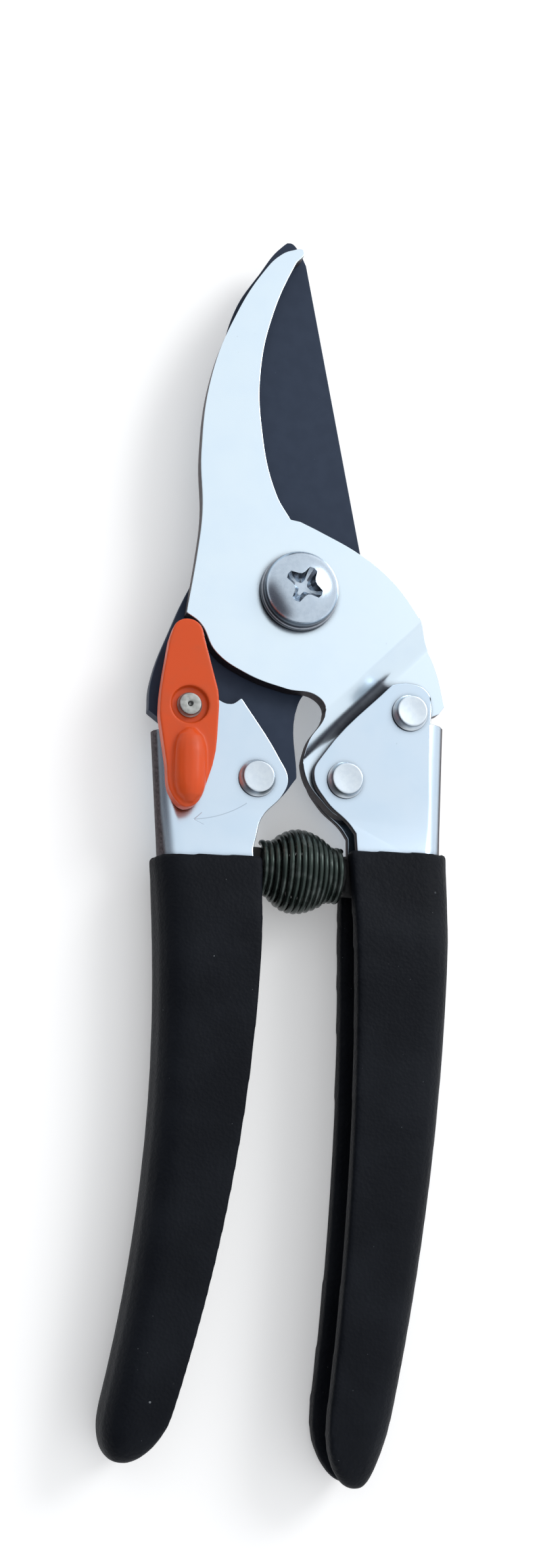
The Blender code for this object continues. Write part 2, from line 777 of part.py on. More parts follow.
def return_spring():
    """A barrel-shaped compression spring, wound from its left end to its right."""
    curve = bpy.data.curves.new("return_spring", "CURVE")
    curve.dimensions = "3D"
    curve.bevel_depth = SPRING_WIRE
    curve.bevel_resolution = 2
    curve.use_fill_caps = True
    spline = curve.splines.new("POLY")
    ends_y = SPRING_Y + SPRING_END_RADIUS
    left = LEFT.coated_inner(ends_y) + SPRING_LEFT_GAP + SPRING_WIRE
    right = RIGHT.coated_inner(ends_y) - SPRING_RIGHT_GAP - SPRING_WIRE
    count = SPRING_TURNS * SPRING_POINTS_A_TURN
    spline.points.add(count)
    for i, point in enumerate(spline.points):
        share = i / count
        bulge = math.sin(math.pi * share) ** 0.9
        radius = SPRING_END_RADIUS + (SPRING_MIDDLE_RADIUS - SPRING_END_RADIUS) * bulge
        angle = math.tau * i / SPRING_POINTS_A_TURN
        point.co = (
            left + (right - left) * share,
            SPRING_Y + radius * math.cos(angle),
            MID_LEVEL + radius * math.sin(angle),
            1.0,
        )
    obj = bpy.data.objects.new("return_spring", curve)
    bpy.context.scene.collection.objects.link(obj)
    return obj


def spring_seat(side, cutters):
    """The plug that sits between a handle's flanges, with the boss that its end of the spring goes over."""
    edge = side.coated_inner(SPRING_Y) - side.facing * SEAT_PROUD
    back = edge + side.facing * SEAT_LENGTH
    half = half_depth(SPRING_Y + SEAT_HALF_WIDTH) - SHEET - LINING - SEAT_GAP
    seat = box(
        side.name + "_seat_plug",
        (min(edge, back), SPRING_Y - SEAT_HALF_WIDTH, MID_LEVEL - half),
        (max(edge, back), SPRING_Y + SEAT_HALF_WIDTH, MID_LEVEL + half),
    )

    def build(bm):
        bmesh.ops.create_cone(
            bm,
            cap_ends=True,
            segments=20,
            radius1=SEAT_BOSS_RADIUS,
            radius2=SEAT_BOSS_RADIUS,
            depth=SEAT_BOSS_LENGTH,
            matrix=Matrix.Rotation(math.pi / 2, 4, "Y"),
        )

    boss = mesh_object(side.name + "_seat_boss", build)
    boss.location = (edge - side.facing * (SEAT_BOSS_LENGTH / 2 - 0.1 * MM), SPRING_Y, MID_LEVEL)
    add_boolean(seat, "UNION", as_cutter(boss, cutters), "boss")
    return seat


# ---------------------------------------------------------------- assembly


def main():
    clear_scene()
    part = new_collection("pruning_shears")
    cutters = new_collection("cutters", hidden=True)
    looks = finishes()
    head, nut_top, _, _ = bolt_levels()

    finish(hook_blade(), "hook_blade", looks["chrome"], part)
    finish(cutting_blade(), "cutting_blade", looks["blade"], part)

    left_holes = [rivet_hole(LEFT_RIVET), lever_hole()]
    right_holes = [rivet_hole(RIGHT_LOWER_RIVET), rivet_hole(RIGHT_UPPER_RIVET)]
    finish(handle(LEFT, LEFT_HEAD, left_holes, cutters), "left_handle", looks["chrome"], part)
    finish(handle(RIGHT, RIGHT_HEAD, right_holes, cutters), "right_handle", looks["chrome"], part)
    finish(grip(LEFT, cutters), "left_grip", looks["grip"], part)
    finish(grip(RIGHT, cutters), "right_grip", looks["grip"], part)

    finish(rivet("left_rivet", LEFT_RIVET), "left_rivet", looks["steel"], part)
    finish(rivet("right_rivet_lower", RIGHT_LOWER_RIVET), "right_rivet_lower", looks["steel"], part)
    finish(rivet("right_rivet_upper", RIGHT_UPPER_RIVET), "right_rivet_upper", looks["steel"], part)

    finish(pivot_bolt(cutters), "pivot_bolt", looks["steel"], part)
    washer_bottom = HOOK_TOP + FLUSH_GAP
    washer = ring("pivot_washer", BOLT_SHANK + BORE_GAP, WASHER_RADIUS, washer_bottom,
                  washer_bottom + WASHER_THICKNESS)
    finish(washer, "pivot_washer", looks["steel"], part)
    bush_inner = BOLT_SHANK + BORE_GAP
    bush = ring("pivot_bush", bush_inner, bush_inner + BUSH_WALL, BLADE_BOTTOM, HOOK_TOP)
    finish(bush, "pivot_bush", looks["bronze"], part)
    spring_washer = ring("pivot_spring_washer", BOLT_SHANK + BORE_GAP, WASHER_RADIUS,
                         nut_top + FLUSH_GAP, nut_top + FLUSH_GAP + SPRING_WASHER_THICKNESS)
    finish(spring_washer, "pivot_spring_washer", looks["steel"], part)
    finish(pivot_nut(), "pivot_nut", looks["steel"], part)

    finish(lock_lever(cutters), "lock_lever", looks["lever"], part)
    finish(lever_rivet(), "lever_rivet", looks["steel"], part)
    finish(lever_washer(), "lever_washer", looks["steel"], part)

    finish(return_spring(), "return_spring", looks["spring"], part)
    finish(spring_seat(LEFT, cutters), "left_spring_seat", looks["nylon"], part)
    finish(spring_seat(RIGHT, cutters), "right_spring_seat", looks["nylon"], part)


main()
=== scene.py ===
"""The looks of the bypass pruning shears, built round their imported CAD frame.

Each visible CAD node is either refined (its edges rounded, its coating remeshed) or rebuilt as a finer piece,
and every surface gets a procedural finish. The studio is a pale floor under soft light.
"""

from __future__ import annotations

import json
import logging
import math
from abc import ABC, abstractmethod
from collections.abc import Callable, Iterator, Sequence
from dataclasses import dataclass, replace
from enum import Enum

import bmesh
import bpy
from mathutils import Matrix, Vector

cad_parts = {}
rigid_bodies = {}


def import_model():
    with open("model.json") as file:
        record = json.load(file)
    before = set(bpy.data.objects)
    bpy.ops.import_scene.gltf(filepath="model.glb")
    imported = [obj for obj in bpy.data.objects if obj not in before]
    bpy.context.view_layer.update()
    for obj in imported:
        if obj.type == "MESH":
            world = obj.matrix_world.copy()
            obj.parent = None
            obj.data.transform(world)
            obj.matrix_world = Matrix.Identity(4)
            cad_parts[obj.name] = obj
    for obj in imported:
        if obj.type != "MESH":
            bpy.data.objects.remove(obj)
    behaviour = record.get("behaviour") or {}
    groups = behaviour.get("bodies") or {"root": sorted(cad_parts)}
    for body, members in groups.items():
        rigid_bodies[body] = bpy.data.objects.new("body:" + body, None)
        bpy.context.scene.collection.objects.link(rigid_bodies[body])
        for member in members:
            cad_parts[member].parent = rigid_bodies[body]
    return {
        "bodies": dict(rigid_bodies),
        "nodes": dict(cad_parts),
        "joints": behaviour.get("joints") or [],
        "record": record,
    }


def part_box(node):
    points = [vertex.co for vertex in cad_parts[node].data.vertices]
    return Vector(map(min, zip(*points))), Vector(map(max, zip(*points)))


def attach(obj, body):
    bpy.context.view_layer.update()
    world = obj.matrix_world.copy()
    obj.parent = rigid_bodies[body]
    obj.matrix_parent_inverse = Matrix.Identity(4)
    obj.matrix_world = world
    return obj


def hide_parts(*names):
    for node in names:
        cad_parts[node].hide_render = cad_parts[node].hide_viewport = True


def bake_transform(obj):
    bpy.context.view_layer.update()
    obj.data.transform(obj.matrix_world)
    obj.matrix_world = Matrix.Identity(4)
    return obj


LOG = logging.getLogger("pruning_shears")
MM = 0.001

Triple = tuple[float, float, float]
Colour = Triple
Profile = Sequence[tuple[float, float]]
Value = "float | Sequence[float] | bpy.types.NodeSocket"


class Slot(Enum):
    """The record's material slots."""

    CHROME = "chrome"
    BLADE = "blade"
    GRIP = "grip"
    LEVER = "lever"
    STEEL = "steel"
    SPRING = "spring"
    BRONZE = "bronze"
    NYLON = "nylon"


# ---------------------------------------------------------------- shader building


class Graph:
    """A node tree with short calls for the nodes that the finishes use."""

    def __init__(self, tree: bpy.types.NodeTree) -> None:
        """Wraps a node tree."""
        self.tree = tree

    def add(
        self, kind: str, inputs: dict[str | int, Value] | None = None, **settings: object
    ) -> bpy.types.Node:
        """Adds a node.

        Args:
            kind: The node's type name.
            inputs: Values or sockets for its inputs, by name or number.
            **settings: Properties of the node itself.

        Returns:
            The new node.
        """
        node = self.tree.nodes.new(kind)
        for name, value in settings.items():
            setattr(node, name, value)
        for key, value in (inputs or {}).items():
            self.feed(node.inputs[key], value)
        return node

    def feed(self, socket: bpy.types.NodeSocket, value: Value) -> None:
        """Links a socket into an input, or sets the input's own value.

        Args:
            socket: The input.
            value: A number, a colour, a vector or another node's output.
        """
        if isinstance(value, bpy.types.NodeSocket):
            self.tree.links.new(value, socket)
        elif socket.type == "RGBA" and len(value) == 3:
            socket.default_value = (*value, 1.0)
        else:
            socket.default_value = value

    def maths(self, operation: str, first: Value, second: Value = 0.0) -> bpy.types.NodeSocket:
        """A scalar operation's result."""
        return self.add("ShaderNodeMath", {0: first, 1: second}, operation=operation).outputs[0]

    def blend(self, share: Value, first: Value, second: Value) -> bpy.types.NodeSocket:
        """Mixes two colours.

        Args:
            share: How much of the second colour, from 0 to 1.
            first: The colour at 0.
            second: The colour at 1.

        Returns:
            The mixed colour.
        """
        node = self.add("ShaderNodeMix", {0: share}, data_type="RGBA")
        self.feed(node.inputs[6], first)
        self.feed(node.inputs[7], second)
        return node.outputs[2]

    def between(self, share: Value, first: float, second: float) -> bpy.types.NodeSocket:
        """The number between two others."""
        return self.add("ShaderNodeMapRange", {0: share, 3: first, 4: second}).outputs[0]

    def step(self, value: Value, low: float, high: float) -> bpy.types.NodeSocket:
        """A smooth step from 0 at low to 1 at high, which falls instead where high is below low.

        Args:
            value: The number to step on.
            low: Where the result is 0.
            high: Where the result is 1.

        Returns:
            The step's result, from 0 to 1.
        """
        rising = {0: value, 1: min(low, high), 2: max(low, high)}
        ends = {3: 0.0, 4: 1.0} if low < high else {3: 1.0, 4: 0.0}
        return self.add("ShaderNodeMapRange", rising | ends, interpolation_type="SMOOTHSTEP").outputs[0]

    def noise(self, vector: Value, size: float, detail: float = 3.0) -> bpy.types.NodeSocket:
        """Noise whose features are about size metres across."""
        inputs = {"Vector": vector, "Scale": 1.0 / size, "Detail": detail, "Roughness": 0.55}
        return self.add("ShaderNodeTexNoise", inputs).outputs[0]

    def stretched(self, vector: Value, scale: Triple) -> bpy.types.NodeSocket:
        """A vector scaled along each axis."""
        return self.add("ShaderNodeVectorMath", {0: vector, 1: scale}, operation="MULTIPLY").outputs[0]

    def bump(
        self, height: Value, depth: float, strength: float, normal: Value | None = None
    ) -> bpy.types.NodeSocket:
        """Tilts the surface's normal by a height.

        Args:
            height: The height, from 0 to 1.
            depth: What a height of 1 stands for in metres.
            strength: How much of the tilt is used.
            normal: The normal to start from, or none for the surface's own.

        Returns:
            The new normal.
        """
        inputs = {"Height": height, "Distance": depth, "Strength": strength}
        if normal is not None:
            inputs["Normal"] = normal
        return self.add("ShaderNodeBump", inputs).outputs[0]


def group(
    name: str, floats: dict[str, float], outputs: Sequence[str], fill: Callable[[Graph, dict], dict]
) -> bpy.types.NodeTree:
    """Makes a shared node group, or finds it if it is made already.

    Args:
        name: The group's name.
        floats: Its number inputs with their defaults.
        outputs: The names of its number outputs.
        fill: Takes the graph and the input sockets by name, and returns the output sockets by name.

    Returns:
        The node group.
    """
    found = bpy.data.node_groups.get(name)
    if found:
        return found
    tree = bpy.data.node_groups.new(name, "ShaderNodeTree")
    for label, default in floats.items():
        socket = tree.interface.new_socket(label, in_out="INPUT", socket_type="NodeSocketFloat")
        socket.default_value = default
    for label in outputs:
        tree.interface.new_socket(label, in_out="OUTPUT", socket_type="NodeSocketFloat")
    graph = Graph(tree)
    made = fill(graph, {socket.name: socket for socket in graph.add("NodeGroupInput").outputs})
    end = graph.add("NodeGroupOutput")
    for label, socket in made.items():
        graph.feed(end.inputs[label], socket)
    return tree


def flank_group() -> bpy.types.NodeTree:
    """Masks the surfaces that face sideways.

    Returns:
        The node group. Its Mask is 0 where the normal's upright part is over Start, 1 where it is under Full.
    """

    def fill(graph: Graph, inputs: dict) -> dict:
        """Makes the group's nodes.

        Args:
            graph: The group's graph.
            inputs: The input sockets by name.

        Returns:
            The output sockets by name.
        """
        normal = graph.add("ShaderNodeTexCoord").outputs["Normal"]
        upright = graph.maths("ABSOLUTE", graph.add("ShaderNodeSeparateXYZ", {0: normal}).outputs[2])
        down = graph.maths("SUBTRACT", inputs["Start"], upright)
        reach = graph.maths("SUBTRACT", inputs["Start"], inputs["Full"])
        return {"Mask": graph.step(graph.maths("DIVIDE", down, reach), 0.0, 1.0)}

    return group("flank", {"Start": 0.52, "Full": 0.22}, ["Mask"], fill)


def crevice_shade_group() -> bpy.types.NodeTree:
    """Masks the crevices by ambient occlusion, for painted shade where light doesn't reach.

    Returns:
        The node group. Its Mask is 1 in crevices no wider than Reach.
    """

    def fill(graph: Graph, inputs: dict) -> dict:
        """Makes the group's nodes.

        Args:
            graph: The group's graph.
            inputs: The input sockets by name.

        Returns:
            The output sockets by name.
        """
        # Ambient occlusion within Reach masks where the painted shade goes.
        near = graph.add("ShaderNodeAmbientOcclusion", {"Distance": inputs["Reach"]}, samples=6)
        return {"Mask": graph.step(near.outputs["AO"], 0.88, 0.40)}

    return group("crevice", {"Reach": 1.2 * MM}, ["Mask"], fill)


def grain_group() -> bpy.types.NodeTree:
    """Two scales of noise, whose features are about Coarse and Fine metres across.

    Returns:
        The node group. Its Height holds both scales, and its Tone the larger one alone.
    """

    def fill(graph: Graph, inputs: dict) -> dict:
        """Makes the group's nodes.

        Args:
            graph: The group's graph.
            inputs: The input sockets by name.

        Returns:
            The output sockets by name.
        """
        place = graph.add("ShaderNodeTexCoord").outputs["Object"]
        coarse = graph.add("ShaderNodeTexNoise", {"Vector": place, "Detail": 2.0})
        fine = graph.add("ShaderNodeTexNoise", {"Vector": place, "Detail": 4.0})
        graph.feed(coarse.inputs["Scale"], graph.maths("DIVIDE", 1.0, inputs["Coarse"]))
        graph.feed(fine.inputs["Scale"], graph.maths("DIVIDE", 1.0, inputs["Fine"]))
        low = graph.maths("MULTIPLY", coarse.outputs[0], 0.55)
        height = graph.maths("ADD", low, graph.maths("MULTIPLY", fine.outputs[0], 0.45))
        return {"Height": height, "Tone": coarse.outputs[0]}

    return group("grain", {"Coarse": 1.0 * MM, "Fine": 0.2 * MM}, ["Height", "Tone"], fill)


def speck_group() -> bpy.types.NodeTree:
    """Masks sparse specks, such as dust: a dot in some of the cells of a random lattice.

    Returns:
        The node group. Its Mask is up to 1 in dots of Size in cells of Spacing.
    """

    def fill(graph: Graph, inputs: dict) -> dict:
        """Makes the group's nodes.

        Args:
            graph: The group's graph.
            inputs: The input sockets by name.

        Returns:
            The output sockets by name.
        """
        place = graph.add("ShaderNodeTexCoord").outputs["Object"]
        cells = graph.add("ShaderNodeTexVoronoi", {"Vector": place})
        graph.feed(cells.inputs["Scale"], graph.maths("DIVIDE", 1.0, inputs["Spacing"]))
        reach = graph.maths("DIVIDE", inputs["Size"], inputs["Spacing"])
        near = graph.maths("LESS_THAN", cells.outputs["Distance"], reach)
        lot = graph.add("ShaderNodeSeparateColor", {0: cells.outputs["Color"]}).outputs[0]
        return {"Mask": graph.maths("MULTIPLY", near, graph.step(lot, 0.45, 0.95))}

    return group("specks", {"Spacing": 4.0 * MM, "Size": 0.12 * MM}, ["Mask"], fill)


# ---------------------------------------------------------------- finishes


class Finish(ABC):
    """A procedural surface."""

    name: str
    slot: Slot

    def material(self) -> bpy.types.Material:
        """Makes the finish's material, or finds it if it is made already.

        Returns:
            The material.
        """
        found = bpy.data.materials.get(self.name)
        if found:
            return found
        made = bpy.data.materials.new(self.name)
        made.use_nodes = True
        made.node_tree.nodes.clear()
        graph = Graph(made.node_tree)
        surface = graph.add("ShaderNodeBsdfPrincipled")
        graph.add("ShaderNodeOutputMaterial", {0: surface.outputs[0]})
        self.fill(graph, surface)
        return made

    def shared(self, graph: Graph, tree: bpy.types.NodeTree, **floats: float) -> bpy.types.Node:
        """Adds a shared node group to a material.

        Args:
            graph: The material's graph.
            tree: The node group.
            **floats: Values for the group's inputs, by name.

        Returns:
            The group's node.
        """
        node = graph.add("ShaderNodeGroup", node_tree=tree)
        for label, value in floats.items():
            node.inputs[label].default_value = value
        return node

    @abstractmethod
    def fill(self, graph: Graph, surface: bpy.types.Node) -> None:
        """Feeds the surface's inputs.

        Args:
            graph: The material's graph.
            surface: Its surface shader.
        """


@dataclass(frozen=True)
class ArcMark:
    """An engraved travel mark: an arc about a lever's pivot, with an arrowhead where it starts."""

    centre: tuple[float, float]
    radius: float
    start: float
    stop: float
    width: float = 0.11 * MM
    head_angle: float = 0.085
    head_spread: float = 12.0 * MM

    def mask(self, graph: Graph) -> bpy.types.NodeSocket:
        """Masks the mark. Its head is head_angle radians long and opens by head_spread a radian.

        Args:
            graph: The material's graph.

        Returns:
            The mask, 1 along the engraved lines.
        """
        place = graph.add("ShaderNodeTexCoord").outputs["Object"]
        offset = graph.add("ShaderNodeVectorMath", {0: place, 1: (*self.centre, 0.0)}, operation="SUBTRACT")
        parts = graph.add("ShaderNodeSeparateXYZ", {0: offset.outputs[0]})
        x, y = parts.outputs[0], parts.outputs[1]
        squares = graph.maths("ADD", graph.maths("MULTIPLY", x, x), graph.maths("MULTIPLY", y, y))
        off_line = graph.maths("ABSOLUTE", graph.maths("SUBTRACT", graph.maths("SQRT", squares), self.radius))
        angle = graph.maths("ARCTAN2", y, x)
        middle, reach = (self.start + self.stop) / 2, abs(self.stop - self.start) / 2
        along = graph.maths("ABSOLUTE", graph.maths("SUBTRACT", angle, middle))
        on_arc = graph.maths("LESS_THAN", along, reach)
        line = graph.maths("MULTIPLY", graph.step(off_line, self.width, self.width * 0.4), on_arc)
        from_tip = graph.maths("ABSOLUTE", graph.maths("SUBTRACT", angle, self.start))
        spread = graph.maths("MULTIPLY", from_tip, self.head_spread)
        off_barb = graph.maths("ABSOLUTE", graph.maths("SUBTRACT", off_line, spread))
        on_head = graph.maths("MULTIPLY", graph.maths("LESS_THAN", from_tip, self.head_angle), on_arc)
        head = graph.maths("MULTIPLY", graph.step(off_barb, self.width, self.width * 0.4), on_head)
        upright = graph.add("ShaderNodeSeparateXYZ", {0: graph.add("ShaderNodeTexCoord").outputs["Normal"]})
        facing = graph.maths("GREATER_THAN", upright.outputs[2], 0.9)
        return graph.maths("MULTIPLY", graph.maths("MAXIMUM", line, head), facing)


@dataclass(frozen=True)
class ChromePlate(Finish):
    """Bright plate on pressed steel, with polishing haze on its faces, a painted dark reflection on its
    flanks and painted shade in its crevices.
    """

    name: str = "bright_chrome"
    slot: Slot = Slot.CHROME
    tint: Colour = (0.765, 0.890, 0.985)
    cloud: Colour = (0.725, 0.855, 0.965)
    # Painted dark reflection: faces that look sideways get this dark colour, for the dark room they would
    # mirror.
    flank: Colour = (0.045, 0.038, 0.042)
    flank_start: float = 0.52
    flank_full: float = 0.30
    # Painted shade colour for the crevices.
    painted_shade: Colour = (0.060, 0.058, 0.075)
    speck: Colour = (0.30, 0.34, 0.42)
    engraved: Colour = (0.30, 0.36, 0.44)
    mark: ArcMark | None = None

    def fill(self, graph: Graph, surface: bpy.types.Node) -> None:
        """Feeds the surface's inputs.

        Args:
            graph: The material's graph.
            surface: Its surface shader.
        """
        place = graph.add("ShaderNodeTexCoord").outputs["Object"]
        haze = graph.noise(place, 9.0 * MM, detail=4.0)
        sideways = self.shared(graph, flank_group(), Start=self.flank_start, Full=self.flank_full)
        flank = sideways.outputs["Mask"]
        crevice = self.shared(graph, crevice_shade_group(), Reach=1.3 * MM).outputs["Mask"]
        specks = self.shared(graph, speck_group(), Spacing=3.1 * MM, Size=0.09 * MM).outputs["Mask"]
        scratches = graph.noise(graph.stretched(place, (1.0, 0.07, 1.0)), 0.09 * MM, detail=2.0)
        colour = graph.blend(graph.step(haze, 0.35, 0.7), self.tint, self.cloud)
        colour = graph.blend(graph.maths("MULTIPLY", specks, 0.35), colour, self.speck)
        # Painted dark reflection on the flanks, mottled by noise between the flank colour and twice as light.
        flank_mottle = graph.noise(place, 0.5 * MM)
        flank_dark_reflection = graph.blend(graph.step(flank_mottle, 0.3, 0.75), self.flank, tuple(2.1 * part for part in self.flank))
        colour = graph.blend(flank, colour, flank_dark_reflection)
        # Painted shade: crevices darkened where ambient occlusion finds near walls.
        colour = graph.blend(graph.maths("MULTIPLY", crevice, 0.85), colour, self.painted_shade)
        height = graph.maths("MULTIPLY", scratches, 0.6)
        if self.mark:
            cut = self.mark.mask(graph)
            colour = graph.blend(graph.maths("MULTIPLY", cut, 0.45), colour, self.engraved)
            height = graph.maths("SUBTRACT", height, graph.maths("MULTIPLY", cut, 4.0))
        waves = graph.bump(graph.noise(place, 7.0 * MM, detail=1.0), 0.05 * MM, 0.25)
        graph.feed(surface.inputs["Base Color"], colour)
        surface.inputs["Metallic"].default_value = 1.0
        face_rough = graph.between(haze, 0.16, 0.26)
        rough = graph.maths("ADD", face_rough, graph.maths("MULTIPLY", flank, 0.30))
        graph.feed(surface.inputs["Roughness"], rough)
        graph.feed(surface.inputs["Normal"], graph.bump(height, 0.012 * MM, 0.35, waves))


@dataclass(frozen=True)
class BladeCoating(Finish):
    """A dark satin coating with a fine sprayed grain, ground through to steel on the cutting bevel."""

    name: str = "dark_blade_coating"
    slot: Slot = Slot.BLADE
    tone: Colour = (0.0270, 0.0410, 0.0720)
    deep: Colour = (0.0240, 0.0370, 0.0660)
    speck: Colour = (0.16, 0.20, 0.26)
    ground: Colour = (0.52, 0.56, 0.60)

    def fill(self, graph: Graph, surface: bpy.types.Node) -> None:
        """Feeds the surface's inputs.

        Args:
            graph: The material's graph.
            surface: Its surface shader.
        """
        place = graph.add("ShaderNodeTexCoord").outputs["Object"]
        grain = self.shared(graph, grain_group(), Coarse=2.2 * MM, Fine=0.22 * MM)
        specks = self.shared(graph, speck_group(), Spacing=1.9 * MM, Size=0.06 * MM).outputs["Mask"]
        normal = graph.add("ShaderNodeSeparateXYZ", {0: graph.add("ShaderNodeTexCoord").outputs["Normal"]})
        down = graph.maths("MULTIPLY", normal.outputs[2], -1.0)
        bevel = graph.maths("MULTIPLY", graph.step(down, 0.55, 0.70), graph.step(down, 0.985, 0.965))
        colour = graph.blend(graph.step(grain.outputs["Tone"], 0.3, 0.7), self.tone, self.deep)
        colour = graph.blend(graph.maths("MULTIPLY", specks, 0.3), colour, self.speck)
        lines = graph.noise(graph.stretched(place, (1.0, 0.04, 1.0)), 0.12 * MM, detail=2.0)
        steel = graph.blend(lines, self.ground, tuple(0.7 * part for part in self.ground))
        graph.feed(surface.inputs["Base Color"], graph.blend(bevel, colour, steel))
        graph.feed(surface.inputs["Metallic"], bevel)
        surface.inputs["Specular IOR Level"].default_value = 0.16
        coated = graph.between(grain.outputs["Tone"], 0.42, 0.54)
        rough = graph.maths("SUBTRACT", coated, graph.maths("MULTIPLY", bevel, 0.15))
        graph.feed(surface.inputs["Roughness"], rough)
        height = graph.maths("ADD", grain.outputs["Height"], graph.maths("MULTIPLY", lines, 0.5))
        graph.feed(surface.inputs["Normal"], graph.bump(height, 0.03 * MM, 0.35))


@dataclass(frozen=True)
class DippedVinyl(Finish):
    """Soft black vinyl from a dip tank: a pebbled skin, slow waves, and pale dust caught in it."""

    name: str = "dipped_vinyl"
    slot: Slot = Slot.GRIP
    tone: Colour = (0.0030, 0.0042, 0.0072)
    worn: Colour = (0.0066, 0.0084, 0.0124)
    dust: Colour = (0.26, 0.28, 0.30)
    pebble: float = 0.55 * MM

    def fill(self, graph: Graph, surface: bpy.types.Node) -> None:
        """Feeds the surface's inputs.

        Args:
            graph: The material's graph.
            surface: Its surface shader.
        """
        place = graph.add("ShaderNodeTexCoord").outputs["Object"]
        skin = self.shared(graph, grain_group(), Coarse=0.75 * MM, Fine=0.26 * MM)
        cells = graph.add("ShaderNodeTexVoronoi", {"Vector": place, "Scale": 1.0 / self.pebble})
        patches = graph.noise(place, 14.0 * MM, detail=4.0)
        specks = self.shared(graph, speck_group(), Spacing=4.6 * MM, Size=0.17 * MM).outputs["Mask"]
        motes = self.shared(graph, speck_group(), Spacing=1.7 * MM, Size=0.07 * MM).outputs["Mask"]
        colour = graph.blend(graph.step(patches, 0.35, 0.70), self.tone, self.worn)
        colour = graph.blend(graph.maths("MULTIPLY", motes, 0.35), colour, self.dust)
        colour = graph.blend(graph.maths("MULTIPLY", specks, 0.85), colour, self.dust)
        graph.feed(surface.inputs["Base Color"], colour)
        graph.feed(surface.inputs["Roughness"], graph.between(skin.outputs["Tone"], 0.50, 0.66))
        surface.inputs["Specular IOR Level"].default_value = 0.11
        waves = graph.bump(graph.noise(place, 6.0 * MM, detail=1.0), 0.22 * MM, 0.35)
        pebbles = graph.maths("MULTIPLY", cells.outputs["Distance"], 0.6)
        height = graph.maths("ADD", skin.outputs["Height"], pebbles)
        graph.feed(surface.inputs["Normal"], graph.bump(height, 0.095 * MM, 0.9, waves))


@dataclass(frozen=True)
class OrangePlastic(Finish):
    """Semi-gloss moulded orange plastic, scuffed matt in places."""

    name: str = "orange_plastic"
    slot: Slot = Slot.LEVER
    tone: Colour = (0.68, 0.078, 0.012)
    scuffed: Colour = (0.62, 0.080, 0.017)
    bleed: Colour = (0.9, 0.25, 0.08)

    def fill(self, graph: Graph, surface: bpy.types.Node) -> None:
        """Feeds the surface's inputs.

        Args:
            graph: The material's graph.
            surface: Its surface shader.
        """
        place = graph.add("ShaderNodeTexCoord").outputs["Object"]
        skin = self.shared(graph, grain_group(), Coarse=0.9 * MM, Fine=0.18 * MM)
        scuffs = graph.step(graph.noise(place, 5.0 * MM, detail=5.0), 0.45, 0.70)
        scratches = graph.noise(graph.stretched(place, (1.0, 0.12, 1.0)), 0.16 * MM, detail=2.0)
        graph.feed(surface.inputs["Base Color"], graph.blend(scuffs, self.tone, self.scuffed))
        graph.feed(surface.inputs["Roughness"], graph.between(scuffs, 0.30, 0.46))
        surface.inputs["Specular IOR Level"].default_value = 0.30
        surface.inputs["Subsurface Weight"].default_value = 0.08
        surface.inputs["Subsurface Radius"].default_value = self.bleed
        surface.inputs["Subsurface Scale"].default_value = 1.2 * MM
        height = graph.maths("ADD", skin.outputs["Height"], graph.maths("MULTIPLY", scratches, 0.4))
        graph.feed(surface.inputs["Normal"], graph.bump(height, 0.03 * MM, 0.35))


@dataclass(frozen=True)
class SatinSteel(Finish):
    """Plated steel with a fine grain and a few pits, and painted shade on its flanks and in its crevices."""

    name: str = "satin_steel"
    slot: Slot = Slot.STEEL
    tone: Colour = (0.55, 0.64, 0.74)
    dark: Colour = (0.50, 0.59, 0.69)
    pit: Colour = (0.20, 0.21, 0.22)
    # Painted shade colour for the flanks and the crevices.
    painted_shade: Colour = (0.045, 0.045, 0.055)
    rough: float = 0.20
    pitting: float = 0.15

    def fill(self, graph: Graph, surface: bpy.types.Node) -> None:
        """Feeds the surface's inputs.

        Args:
            graph: The material's graph.
            surface: Its surface shader.
        """
        skin = self.shared(graph, grain_group(), Coarse=0.8 * MM, Fine=0.12 * MM)
        specks = self.shared(graph, speck_group(), Spacing=0.7 * MM, Size=0.08 * MM).outputs["Mask"]
        flank = self.shared(graph, flank_group(), Start=0.62, Full=0.34).outputs["Mask"]
        crevice = self.shared(graph, crevice_shade_group(), Reach=0.8 * MM).outputs["Mask"]
        colour = graph.blend(graph.step(skin.outputs["Tone"], 0.3, 0.7), self.tone, self.dark)
        colour = graph.blend(graph.maths("MULTIPLY", specks, self.pitting), colour, self.pit)
        # Painted shade: flanks darkened for the dark room they mirror, crevices where ambient occlusion finds
        # near walls.
        colour = graph.blend(graph.maths("MULTIPLY", flank, 0.85), colour, self.painted_shade)
        colour = graph.blend(graph.maths("MULTIPLY", crevice, 0.6), colour, self.painted_shade)
        graph.feed(surface.inputs["Base Color"], colour)
        surface.inputs["Metallic"].default_value = 1.0
        rough = graph.between(skin.outputs["Tone"], self.rough, self.rough + 0.12)
        graph.feed(surface.inputs["Roughness"], rough)
        normal = graph.bump(skin.outputs["Height"], 0.02 * MM, 0.4 + self.pitting)
        graph.feed(surface.inputs["Normal"], normal)


